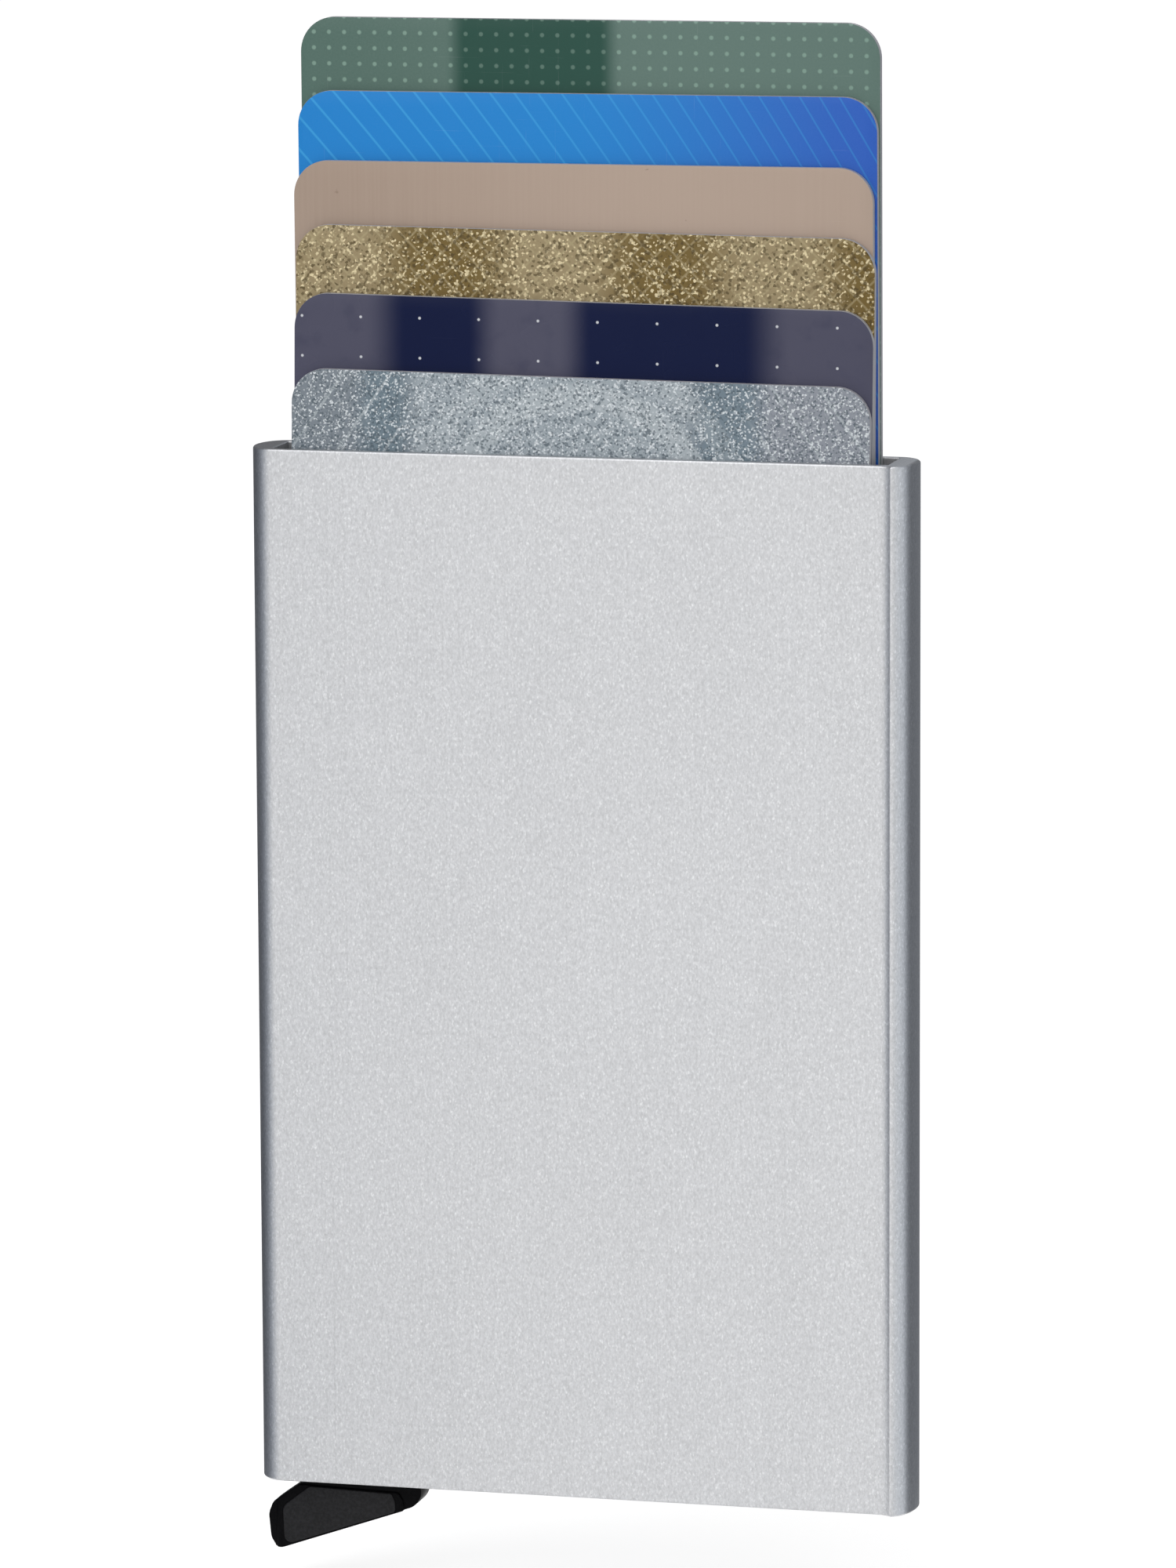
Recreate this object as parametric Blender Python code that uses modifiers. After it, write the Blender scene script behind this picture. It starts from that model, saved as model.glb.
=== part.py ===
"""Slim aluminium card holder with a stepped, spring-returned ejector lever and six fanned cards.

Units are metres, +Z is up, -Y is the front. The origin is the centre of the flat back panel.
"""

import math

import bmesh
import bpy
from mathutils import Matrix, Vector

# Bank-card format
CARD_WIDTH = 0.05398
CARD_LENGTH = 0.0856
CARD_THICKNESS = 0.00076
CARD_CORNER_RADIUS = 0.00318
CARD_GAP = 0.00008

# The six cards as they stand in the fan, front to back: how far each stands above the rim,
# its sideways shift, and its lean to the right in degrees
CARD_RISES = (0.0071, 0.0139, 0.0202, 0.0262, 0.0325, 0.0391)
CARD_SHIFTS = (0.00015, 0.00025, 0.0002, -0.0002, 0.0, 0.0001)
CARD_LEANS = (0.6, 0.65, 0.35, -0.25, -0.25, -0.15)

# Extruded shell
SHELL_HEIGHT = 0.0965
PANEL_WALL = 0.0009
END_WALL = 0.00235
STACK_CLEARANCE = 0.00012
CARD_SIDE_ROOM = 0.00176
LEFT_END_REACH = 0.0024
RAIL_REACH = 0.0018
RAIL_PROUD = 0.0005
RAIL_STEP_RUN = 0.0003
CAVITY_CORNER_RADIUS = 0.00015
RIM_ROUNDING = 0.0002

# Moulded frame that slides into the shell from below
FRAME_SHELL_GAP = 0.0001
FRAME_RECESS = 0.0003
FLOOR_THICKNESS = 0.0013
UPRIGHT_THICKNESS = 0.0005
UPRIGHT_STOP = 0.0045
FOOT_THICKNESS = 0.0014
FOOT_HEIGHT = 0.0087
CHEEK_THICKNESS = 0.0005
CHEEK_BAR_HEIGHT = 0.0017
CHEEK_BOSS_RADIUS = 0.0033
CHEEK_LAP = 0.0013
STOP_GAP = 0.0003

# Felt strips on the uprights
FELT_THICKNESS = 0.00025
FELT_GAP = 0.0001
FELT_BOTTOM = 0.05
FELT_LENGTH = 0.03
FELT_INSET = 0.0004

# Lever pivot, measured from the shell's lower left corner
PIVOT_FROM_SIDE = 0.0095
PIVOT_RISE = 0.0043
PIN_RADIUS = 0.001
CHEEK_HOLE_CLEARANCE = 0.00008
BORE_CLEARANCE = 0.0001
PIN_EDGE = 0.00015

# Lever, whose arm has one step for each card
LEVER_SIDE_CLEARANCE = 0.00015
BLADE_STEP_DOWN = 0.0003
HUB_RADIUS = 0.004
ARM_CHEEK_GAP = 0.0006
ARM_ROOT_HALF_WIDTH = 0.0023
ARM_TAPER = 0.02
ARM_ROUNDING = 0.00015
ARM_SEAM = 0.00005
NECK_STEP_DOWN = 0.0001
ARM_REST_ANGLE = 3.0
LEVER_SWING = 68.0
LIFT_CLEARANCE = 0.00035
STEP_SETBACK = 0.00015

# Thumb tab, measured from the shell's lower left corner: the corners of its outline,
# each with the radius of its fillet
TAB_UPPER_LEFT = (0.0009, -0.0031, 0.002)
TAB_LOWER_LEFT = (0.00125, -0.0075, 0.0012)
TAB_LOWER_RIGHT = (0.0151, -0.0021, 0.0012)
TAB_TOP_LEFT = (0.00405, -0.0005)
PAD_TOP_LEFT = (0.0039, -0.00062, 0.0004)
PAD_TOP_RIGHT = (0.0121, -0.00088, 0.0004)
PAD_LOWER_RIGHT = (0.0133, -0.0028, 0.0003)
PAD_LIP = 0.0001
PAD_ROUNDING = 0.0003
NOSE_TAPER_LENGTH = 0.0014
NOSE_TAPER_DEPTH = 0.0008

# Torsion spring wound round the lever's sleeve, in a pocket of the hub
WIRE_DIAMETER = 0.0004
COIL_RADIUS = 0.00255
COIL_PITCH = 0.00082
COIL_FULL_TURNS = 2
FIXED_LEG_ANGLE = 225.0
MOVING_LEG_ANGLE = 350.0
LEG_BEND_RADIUS = 0.0005
MOVING_LEG_LENGTH = 0.0045
LEG_CLEARANCE = 0.00025
ANCHOR_DEPTH = 0.0005
SLEEVE_WALL = 0.00065
POCKET_RADIUS = 0.00335
POCKET_FLOOR_GAP = 0.0002
SPRING_RECESS = 0.00035
WINDOW_MARGIN = 10.0

# Facets
ARC_STEPS = 8
ROUND_STEPS = 32
COIL_STEPS = 10
WELD_DISTANCE = 0.000002
CUT_MARGIN = 0.001

# Sizes that follow from the ones above
CARD_PITCH = CARD_THICKNESS + CARD_GAP
CARD_COUNT = len(CARD_RISES)
STACK_DEPTH = CARD_COUNT * CARD_PITCH - CARD_GAP
CAVITY_DEPTH = STACK_DEPTH + 2 * STACK_CLEARANCE
CAVITY_WIDTH = CARD_WIDTH + 2 * CARD_SIDE_ROOM
PANEL_DEPTH = CAVITY_DEPTH + 2 * PANEL_WALL
SHELL_WIDTH = CAVITY_WIDTH + 2 * END_WALL
MIDDLE_Y = -PANEL_DEPTH / 2
LEFT = -SHELL_WIDTH / 2
BOTTOM = -SHELL_HEIGHT / 2
RIM = SHELL_HEIGHT / 2
FRAME_HALF_WIDTH = CAVITY_WIDTH / 2 - FRAME_SHELL_GAP
FRAME_DEPTH = CAVITY_DEPTH - 2 * FRAME_SHELL_GAP
UPRIGHT_FACE = FRAME_HALF_WIDTH - UPRIGHT_THICKNESS
PIVOT_X = LEFT + PIVOT_FROM_SIDE
PIVOT_Z = BOTTOM + PIVOT_RISE
LEVER_HALF_DEPTH = FRAME_DEPTH / 2 - CHEEK_THICKNESS - LEVER_SIDE_CLEARANCE
BLADE_HALF_DEPTH = LEVER_HALF_DEPTH - BLADE_STEP_DOWN
BORE_RADIUS = PIN_RADIUS + BORE_CLEARANCE
SLEEVE_RADIUS = BORE_RADIUS + SLEEVE_WALL
COIL_SWEEP = COIL_FULL_TURNS * 360.0 + MOVING_LEG_ANGLE - FIXED_LEG_ANGLE
COIL_RISE = COIL_PITCH * COIL_SWEEP / 360.0


def clear_scene():
    for old in list(bpy.data.objects):
        bpy.data.objects.remove(old)


def new_collection(name):
    collection = bpy.data.collections.new(name)
    bpy.context.scene.collection.children.link(collection)
    return collection


def new_material(name, colour, roughness, metallic=0.0):
    material = bpy.data.materials.new(name)
    material.use_nodes = True
    shader = material.node_tree.nodes["Principled BSDF"]
    shader.inputs["Base Color"].default_value = (*colour, 1.0)
    shader.inputs["Roughness"].default_value = roughness
    shader.inputs["Metallic"].default_value = metallic
    return material


def arc(centre, radii, start, end, steps):
    """Points along an ellipse's arc, with both ends, for angles in degrees."""
    points = []
    for i in range(steps + 1):
        angle = math.radians(start + (end - start) * i / steps)
        points.append((centre[0] + radii[0] * math.cos(angle), centre[1] + radii[1] * math.sin(angle)))
    return points


def ring(radius):
    """A closed circle about the origin."""
    first = 180.0 / ROUND_STEPS
    return arc((0.0, 0.0), (radius, radius), first, first + 360.0, ROUND_STEPS)[:-1]


def filleted(corners):
    """An outline through corners (u, v, radius), with each corner rounded by its radius."""
    points = []
    for i, (u, v, radius) in enumerate(corners):
        here = Vector((u, v))
        to_last = (Vector(corners[i - 1][:2]) - here).normalized()
        to_next = (Vector(corners[(i + 1) % len(corners)][:2]) - here).normalized()
        if radius == 0.0:
            points.append((u, v))
            continue
        half = to_last.angle(to_next) / 2
        centre = here + (to_last + to_next).normalized() * (radius / math.sin(half))
        first = here + to_last * (radius / math.tan(half)) - centre
        last = here + to_next * (radius / math.tan(half)) - centre
        turn = first.angle_signed(last)
        for step in range(ARC_STEPS + 1):
            angle = math.atan2(first.y, first.x) - turn * step / ARC_STEPS
            points.append((centre.x + radius * math.cos(angle), centre.y + radius * math.sin(angle)))
    return points


def turned(points, degrees):
    turn = Matrix.Rotation(math.radians(degrees), 2)
    return [tuple(turn @ Vector(point)) for point in points]


def moved(points, offset):
    return [(u + offset[0], v + offset[1]) for u, v in points]


def rectangle(left, right, low, high, radius=0.0):
    return filleted([(left, low, radius), (right, low, radius), (right, high, radius), (left, high, radius)])


def weld(mesh):
    work = bmesh.new()
    work.from_mesh(mesh)
    bmesh.ops.remove_doubles(work, verts=work.verts, dist=WELD_DISTANCE)
    bmesh.ops.recalc_face_normals(work, faces=work.faces)
    work.to_mesh(mesh)
    work.free()


def flat_piece(name, loops, thickness, location, collection, upright=True):
    """A solid of even thickness from closed outlines, standing in the XZ plane when upright."""
    outline = bpy.data.curves.new(name + "_outline", "CURVE")
    outline.dimensions = "2D"
    outline.fill_mode = "BOTH"
    outline.extrude = thickness / 2
    for loop in loops:
        spline = outline.splines.new("POLY")
        spline.points.add(len(loop) - 1)
        for point, (u, v) in zip(spline.points, loop):
            point.co = (u, v, 0.0, 1.0)
        spline.use_cyclic_u = True
    guide = bpy.data.objects.new(name + "_outline", outline)
    guide.location = location
    if upright:
        guide.rotation_euler = (math.pi / 2, 0.0, 0.0)
    collection.objects.link(guide)
    bpy.context.view_layer.update()
    evaluated = guide.evaluated_get(bpy.context.evaluated_depsgraph_get())
    mesh = bpy.data.meshes.new_from_object(evaluated)
    weld(mesh)
    piece = bpy.data.objects.new(name, mesh)
    piece.matrix_world = guide.matrix_world.copy()
    bpy.data.objects.remove(guide)
    collection.objects.link(piece)
    return piece


def finish(piece, material, smooth=True):
    piece.data.materials.clear()
    piece.data.materials.append(material)
    if smooth:
        piece.data.shade_smooth()
        piece.data.set_sharp_from_angle(angle=math.radians(35.0))


def round_edges(piece, width, segments=2, angle=60.0):
    bevel = piece.modifiers.new("rounded_edges", "BEVEL")
    bevel.width = width
    bevel.segments = segments
    bevel.limit_method = "ANGLE"
    bevel.angle_limit = math.radians(angle)
    bevel.use_clamp_overlap = True


def combine(piece, others, operation, solver="EXACT"):
    """Joins the other solids to the piece, or cuts them from it, and hides them as tools."""
    for other in others:
        boolean = piece.modifiers.new(operation.lower() + "_" + other.name, "BOOLEAN")
        boolean.operation = operation
        boolean.solver = solver
        boolean.object = other
        other.hide_render = True
        other.display_type = "WIRE"


def from_corner(point):
    """A point measured from the shell's lower left corner, seen from the pivot."""
    return (point[0] - PIVOT_FROM_SIDE, point[1] - PIVOT_RISE) + tuple(point[2:])


def slot_end():
    """How far right of the pivot the lever's slot ends: just clear of the tab's lower right
    corner as it sweeps through the floor, and of its lower edge, which stops there at full swing."""
    corner = Vector(from_corner(TAB_LOWER_RIGHT)[:2])
    floor_top = FRAME_RECESS + FLOOR_THICKNESS - PIVOT_RISE
    swept = math.sqrt(corner.length_squared - floor_top * floor_top)
    edge = [from_corner(TAB_LOWER_LEFT)[:2], from_corner(TAB_LOWER_RIGHT)[:2]]
    return max([swept] + [u for u, _ in turned(edge, LEVER_SWING)]) + STOP_GAP


def arm_start():
    """How far from the pivot the arm's full thickness begins, beyond the ends of the cheeks."""
    return slot_end() + CHEEK_LAP + ARM_CHEEK_GAP


def shell_outline():
    """The extrusion's outer profile: a round left end, flat panels, and a proud round rail."""
    left_end = arc((LEFT + LEFT_END_REACH, MIDDLE_Y), (LEFT_END_REACH, PANEL_DEPTH / 2),
                   90.0, 270.0, 2 * ARC_STEPS)
    rail_start = -LEFT - RAIL_REACH
    rail_end = arc((rail_start, MIDDLE_Y), (RAIL_REACH, PANEL_DEPTH / 2 + RAIL_PROUD),
                   -90.0, 90.0, 2 * ARC_STEPS)
    step_foot = rail_start - RAIL_STEP_RUN
    front_foot = (step_foot, MIDDLE_Y - PANEL_DEPTH / 2)
    back_foot = (step_foot, MIDDLE_Y + PANEL_DEPTH / 2)
    return left_end + [front_foot] + rail_end + [back_foot]


def cavity_outline():
    half_width = CAVITY_WIDTH / 2
    half_depth = CAVITY_DEPTH / 2
    return rectangle(-half_width, half_width, MIDDLE_Y - half_depth, MIDDLE_Y + half_depth,
                     CAVITY_CORNER_RADIUS)


def make_shell(parts, materials):
    shell = flat_piece("shell", [shell_outline(), cavity_outline()], SHELL_HEIGHT,
                       (0.0, 0.0, 0.0), parts, upright=False)
    round_edges(shell, RIM_ROUNDING)
    finish(shell, materials["aluminium"])
    return shell


def cheek_outline():
    """Side plate that spans the lever's slot and carries the pin, seen from the pivot."""
    left = LEFT + END_WALL + FRAME_SHELL_GAP - PIVOT_X
    floor = FRAME_RECESS - PIVOT_RISE
    right = slot_end() + CHEEK_LAP
    bar_top = floor + CHEEK_BAR_HEIGHT
    boss = arc((0.0, 0.0), (CHEEK_BOSS_RADIUS, CHEEK_BOSS_RADIUS), 45.0, 100.0, ARC_STEPS)
    shoulder = (left, FRAME_RECESS + FOOT_HEIGHT - PIVOT_RISE)
    root = (right - 2 * CHEEK_LAP, bar_top)
    return [(left, floor), (right, floor), (right, floor + FLOOR_THICKNESS), root] + boss + [shoulder]


def make_frame(parts, tools, materials):
    """One moulding: floor, two uprights, and the two cheeks that hold the pivot pin."""
    low = BOTTOM + FRAME_RECESS
    top = RIM - UPRIGHT_STOP
    slot_right = PIVOT_X + slot_end()
    inner_right = UPRIGHT_FACE
    floor_top = low + FLOOR_THICKNESS
    right_part = [(slot_right, low), (FRAME_HALF_WIDTH, low), (FRAME_HALF_WIDTH, top),
                  (inner_right, top), (inner_right, floor_top), (slot_right, floor_top)]
    left_side = -FRAME_HALF_WIDTH
    foot_face = left_side + FOOT_THICKNESS
    foot_top = low + FOOT_HEIGHT
    left_part = [(left_side, low), (foot_face, low), (foot_face, foot_top), (-UPRIGHT_FACE, foot_top),
                 (-UPRIGHT_FACE, top), (left_side, top)]
    centre = (0.0, MIDDLE_Y, 0.0)
    frame = flat_piece("inner_frame", [right_part], FRAME_DEPTH, centre, parts)
    left_upright = flat_piece("left_upright_tool", [left_part], FRAME_DEPTH, centre, tools)
    cheeks = []
    for side in (-1, 1):
        middle = MIDDLE_Y + side * (FRAME_DEPTH - CHEEK_THICKNESS) / 2
        cheeks.append(flat_piece("cheek_tool", [cheek_outline()], CHEEK_THICKNESS,
                                 (PIVOT_X, middle, PIVOT_Z), tools))
    combine(frame, cheeks + [left_upright], "UNION")
    pin_hole = flat_piece("pin_hole_tool", [ring(PIN_RADIUS + CHEEK_HOLE_CLEARANCE)],
                          FRAME_DEPTH + 2 * CUT_MARGIN, (PIVOT_X, MIDDLE_Y, PIVOT_Z), tools)
    half_slot = WIRE_DIAMETER / 2 + LEG_CLEARANCE
    slot = rectangle(-LEG_CLEARANCE, 2 * ANCHOR_DEPTH + CUT_MARGIN, -half_slot, half_slot)
    slot = moved(turned(slot, FIXED_LEG_ANGLE + 90.0), fixed_leg_end())
    anchor = flat_piece("spring_anchor_tool", [slot], 2 * half_slot,
                        (PIVOT_X, coil_front(), PIVOT_Z), tools)
    combine(frame, [pin_hole, anchor], "DIFFERENCE")
    finish(frame, materials["black_frame"])
    return frame


def make_felts(parts, materials):
    for side, word in ((-1, "left"), (1, "right")):
        middle = side * (UPRIGHT_FACE - FELT_GAP - FELT_THICKNESS / 2)
        half_depth = FRAME_DEPTH / 2 - FELT_INSET
        outline = rectangle(middle - FELT_THICKNESS / 2, middle + FELT_THICKNESS / 2,
                            MIDDLE_Y - half_depth, MIDDLE_Y + half_depth)
        felt = flat_piece("friction_strip_" + word, [outline], FELT_LENGTH,
                          (0.0, 0.0, BOTTOM + FELT_BOTTOM + FELT_LENGTH / 2), parts, upright=False)
        finish(felt, materials["felt"], smooth=False)


def make_pin(parts, materials):
    mesh = bpy.data.meshes.new("pivot_pin")
    work = bmesh.new()
    bmesh.ops.create_cone(work, cap_ends=True, segments=ROUND_STEPS, radius1=PIN_RADIUS,
                          radius2=PIN_RADIUS, depth=FRAME_DEPTH)
    work.to_mesh(mesh)
    work.free()
    pin = bpy.data.objects.new("pivot_pin", mesh)
    pin.location = (PIVOT_X, MIDDLE_Y, PIVOT_Z)
    pin.rotation_euler = (math.pi / 2, 0.0, 0.0)
    parts.objects.link(pin)
    round_edges(pin, PIN_EDGE, segments=1)
    finish(pin, materials["steel"])


def card_bottom(index):
    return RIM + CARD_RISES[index] - CARD_LENGTH


def arm_half_width(radius):
    return ARM_ROOT_HALF_WIDTH - ARM_TAPER * (radius - arm_start())


def step_reach(index):
    """How far from the pivot a step ends, so that at full swing the rounded upper corner of its
    end has just lifted its card to its place in the fan."""
    angle = math.radians(ARM_REST_ANGLE + LEVER_SWING)
    rise = card_bottom(index) - LIFT_CLEARANCE - PIVOT_Z
    corner = ARM_ROUNDING * (1.0 - math.sin(angle) - math.cos(angle))
    wide_root = ARM_ROOT_HALF_WIDTH + ARM_TAPER * arm_start()
    return (rise - corner - wide_root * math.cos(angle)) / (math.sin(angle) - ARM_TAPER * math.cos(angle))


def card_front(index):
    """Y of a card's front face."""
    return MIDDLE_Y - STACK_DEPTH / 2 + index * CARD_PITCH


def turn_about_pivot(piece, degrees):
    """Turns a piece counter-clockwise about the lever's pivot, as seen from the front."""
    pivot = Vector((PIVOT_X, MIDDLE_Y, PIVOT_Z))
    turn = Matrix.Rotation(math.radians(-degrees), 4, "Y")
    piece.matrix_world = Matrix.Translation(pivot) @ turn @ Matrix.Translation(-pivot) @ piece.matrix_world


def make_lever_arm(parts, tools, materials):
    """The arm beyond the neck, a tapering bar behind the front card's face, cut back in steps:
    the deeper a card sits, the longer the step that lifts it."""
    front = card_front(0) + STEP_SETBACK
    back = MIDDLE_Y + STACK_DEPTH / 2 - STEP_SETBACK
    reaches = [step_reach(index) for index in range(CARD_COUNT)]
    tip = arm_half_width(reaches[-1])
    root = ARM_ROOT_HALF_WIDTH
    start = arm_start()
    outline = [(start, -root), (reaches[-1], -tip), (reaches[-1], tip), (start, root)]
    arm = flat_piece("lever_arm", [outline], back - front, (PIVOT_X, (front + back) / 2, PIVOT_Z), parts)
    stairs = [(reaches[-1] + CUT_MARGIN, front - CUT_MARGIN), (reaches[0], front - CUT_MARGIN)]
    for index in range(1, CARD_COUNT):
        step_front = card_front(index) + STEP_SETBACK
        stairs.append((reaches[index - 1], step_front))
        stairs.append((reaches[index], step_front))
    stairs[-1] = (reaches[-1] + CUT_MARGIN, card_front(CARD_COUNT - 1) + STEP_SETBACK)
    cutter = flat_piece("arm_stairs_tool", [stairs], 2 * root + 2 * CUT_MARGIN,
                        (PIVOT_X, 0.0, PIVOT_Z), tools, upright=False)
    for piece in (arm, cutter):
        turn_about_pivot(piece, ARM_REST_ANGLE)
    combine(arm, [cutter], "DIFFERENCE")
    round_edges(arm, ARM_ROUNDING)
    finish(arm, materials["black_lever"])


def neck_outline():
    """The neck between the hub and the arm, thin enough to pass between the cheeks."""
    return turned(rectangle(0.0, arm_start() - ARM_SEAM, -ARM_ROOT_HALF_WIDTH, ARM_ROOT_HALF_WIDTH),
                  ARM_REST_ANGLE)


def blade_outline():
    """The tab's thinner body, which passes through the slot up to the hub."""
    lip = PAD_LIP
    upper = (TAB_UPPER_LEFT[0] + lip, TAB_UPPER_LEFT[1], TAB_UPPER_LEFT[2])
    lower = (TAB_LOWER_LEFT[0] + lip, TAB_LOWER_LEFT[1] + lip, TAB_LOWER_LEFT[2])
    corner = (TAB_LOWER_RIGHT[0], TAB_LOWER_RIGHT[1] + lip, TAB_LOWER_RIGHT[2])
    right_top = (TAB_LOWER_RIGHT[0], PIVOT_RISE, 0.0)
    hub_centre = (PIVOT_FROM_SIDE, PIVOT_RISE, 0.0)
    top_left = (TAB_TOP_LEFT[0] + lip, TAB_TOP_LEFT[1], 0.0)
    corners = [upper, lower, corner, right_top, hub_centre, top_left]
    return filleted([from_corner(corner) for corner in corners])


def pad_outline():
    """The thicker thumb pad, which stays within the tab's outline."""
    corners = [PAD_TOP_LEFT, TAB_UPPER_LEFT, TAB_LOWER_LEFT, PAD_LOWER_RIGHT, PAD_TOP_RIGHT]
    slope = (TAB_LOWER_RIGHT[1] - TAB_LOWER_LEFT[1]) / (TAB_LOWER_RIGHT[0] - TAB_LOWER_LEFT[0])
    on_edge = TAB_LOWER_LEFT[1] + slope * (PAD_LOWER_RIGHT[0] - TAB_LOWER_LEFT[0])
    corners[3] = (PAD_LOWER_RIGHT[0], on_edge, PAD_LOWER_RIGHT[2])
    return filleted([from_corner(corner) for corner in corners])


def nose_tapers(tools):
    """Wedges that slope the pad's left end on both faces."""
    left = LEFT + TAB_UPPER_LEFT[0]
    wedges = []
    for side in (-1, 1):
        face = MIDDLE_Y + side * LEVER_HALF_DEPTH
        outward = face + side * CUT_MARGIN
        slope = NOSE_TAPER_DEPTH / NOSE_TAPER_LENGTH
        beyond = face - side * (NOSE_TAPER_DEPTH + slope * CUT_MARGIN)
        loop = [(left + NOSE_TAPER_LENGTH, face), (left - CUT_MARGIN, beyond),
                (left - CUT_MARGIN, outward), (left + NOSE_TAPER_LENGTH, outward)]
        tab_height = -TAB_LOWER_LEFT[1] + 2 * CUT_MARGIN
        wedges.append(flat_piece("nose_taper_tool", [loop], tab_height,
                                 (0.0, 0.0, BOTTOM - tab_height / 2 + CUT_MARGIN), tools, upright=False))
    return wedges


def coil_front():
    """Y of the coil's first turn, which lies deepest in the pocket and carries the fixed leg."""
    return MIDDLE_Y + LEVER_HALF_DEPTH - SPRING_RECESS - WIRE_DIAMETER / 2 - COIL_RISE


def fixed_leg_end():
    """Where the spring's fixed leg ends, inside the slot in the left foot, seen from the pivot."""
    angle = math.radians(FIXED_LEG_ANGLE)
    start = Vector((COIL_RADIUS * math.cos(angle), COIL_RADIUS * math.sin(angle)))
    away = Vector((math.sin(angle), -math.cos(angle)))
    foot_face = -FRAME_HALF_WIDTH + FOOT_THICKNESS - PIVOT_X
    end = start + away * ((foot_face - ANCHOR_DEPTH - start.x) / away.x)
    return end.x, end.y


def fixed_leg_crossing(radius):
    """The angle at which the fixed leg crosses a circle about the pivot."""
    return FIXED_LEG_ANGLE - math.degrees(math.acos(COIL_RADIUS / radius))


def moving_leg():
    """The bend out of the coil and the leg along the arm, seen from the pivot."""
    inner = COIL_RADIUS + LEG_BEND_RADIUS
    angle = math.radians(MOVING_LEG_ANGLE)
    centre = (inner * math.cos(angle), inner * math.sin(angle))
    bend = arc(centre, (LEG_BEND_RADIUS, LEG_BEND_RADIUS), MOVING_LEG_ANGLE - 180.0, 90.0, 4)
    return bend[1:] + [(centre[0] + MOVING_LEG_LENGTH, bend[-1][1])]


def spring_points():
    """Fixed leg, coil and moving leg as one line of points, seen from the pivot (u, depth, v)."""
    front = coil_front()
    back = front + COIL_RISE
    end_u, end_v = fixed_leg_end()
    points = [(end_u, front, end_v)]
    steps = round(COIL_STEPS * COIL_SWEEP / 360.0)
    for i in range(steps + 1):
        angle = math.radians(FIXED_LEG_ANGLE + COIL_SWEEP * i / steps)
        points.append((COIL_RADIUS * math.cos(angle), front + COIL_RISE * i / steps,
                       COIL_RADIUS * math.sin(angle)))
    return points + [(u, back, v) for u, v in moving_leg()]


def least_coil_gap(points):
    """The least distance between surfaces of turns at least half a turn apart."""
    apart = COIL_STEPS // 2
    nearest = min((Vector(a) - Vector(b)).length
                  for i, a in enumerate(points) for b in points[i + apart:])
    return nearest - WIRE_DIAMETER


def make_spring(parts, materials):
    curve = bpy.data.curves.new("return_spring", "CURVE")
    curve.dimensions = "3D"
    curve.bevel_depth = WIRE_DIAMETER / 2
    curve.bevel_resolution = 1
    curve.use_fill_caps = True
    points = spring_points()
    spline = curve.splines.new("POLY")
    spline.points.add(len(points) - 1)
    for point, (u, depth, v) in zip(spline.points, points):
        point.co = (u, depth - MIDDLE_Y, v, 1.0)
    spring = bpy.data.objects.new("return_spring", curve)
    spring.location = (PIVOT_X, MIDDLE_Y, PIVOT_Z)
    parts.objects.link(spring)
    curve.materials.append(materials["steel"])
    print("return_spring least gap to itself: %.2f mm" % (least_coil_gap(points) * 1000.0))


def spring_room(tools):
    """The hub's pocket, its window for the fixed leg, and the moving leg's groove."""
    back = MIDDLE_Y + LEVER_HALF_DEPTH + CUT_MARGIN
    floor = coil_front() - WIRE_DIAMETER / 2 - POCKET_FLOOR_GAP
    centre = (PIVOT_X, (floor + back) / 2, PIVOT_Z)
    pocket = flat_piece("pocket_tool", [ring(POCKET_RADIUS), ring(SLEEVE_RADIUS)], back - floor,
                        centre, tools)
    window_start = fixed_leg_crossing(HUB_RADIUS) - LEVER_SWING - WINDOW_MARGIN
    window_end = fixed_leg_crossing(POCKET_RADIUS) + WINDOW_MARGIN
    inner = (POCKET_RADIUS + SLEEVE_RADIUS) / 2
    outer = HUB_RADIUS + CUT_MARGIN
    sector = arc((0.0, 0.0), (outer, outer), window_start, window_end, ARC_STEPS)
    sector += arc((0.0, 0.0), (inner, inner), window_end, window_start, ARC_STEPS)
    window = flat_piece("leg_window_tool", [sector], back - floor, centre, tools)
    half_groove = WIRE_DIAMETER / 2 + LEG_CLEARANCE
    groove_floor = coil_front() + COIL_RISE - half_groove
    leg_end_u, leg_v = moving_leg()[-1]
    outline = rectangle(COIL_RADIUS, leg_end_u + LEG_CLEARANCE, leg_v - half_groove, leg_v + half_groove)
    groove = flat_piece("leg_groove_tool", [outline], back - groove_floor,
                        (PIVOT_X, (groove_floor + back) / 2, PIVOT_Z), tools)
    return [pocket, window, groove]


def make_lever(parts, tools, materials):
    """Thumb tab, hub and neck, with the origin on the pivot axis."""
    pivot = (PIVOT_X, MIDDLE_Y, PIVOT_Z)
    lever = flat_piece("lever", [ring(HUB_RADIUS)], 2 * LEVER_HALF_DEPTH, pivot, parts)
    neck = flat_piece("neck_tool", [neck_outline()], 2 * (LEVER_HALF_DEPTH - NECK_STEP_DOWN), pivot, tools)
    blade = flat_piece("blade_tool", [blade_outline()], 2 * BLADE_HALF_DEPTH, pivot, tools)
    pad = flat_piece("pad_tool", [pad_outline()], 2 * LEVER_HALF_DEPTH, pivot, tools)
    round_edges(pad, PAD_ROUNDING)
    combine(lever, [neck, blade, pad], "UNION", "MANIFOLD")
    bore = flat_piece("bore_tool", [ring(BORE_RADIUS)], 2 * LEVER_HALF_DEPTH + 2 * CUT_MARGIN, pivot, tools)
    combine(lever, spring_room(tools) + [bore] + nose_tapers(tools), "DIFFERENCE", "MANIFOLD")
    finish(lever, materials["black_lever"])


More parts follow.
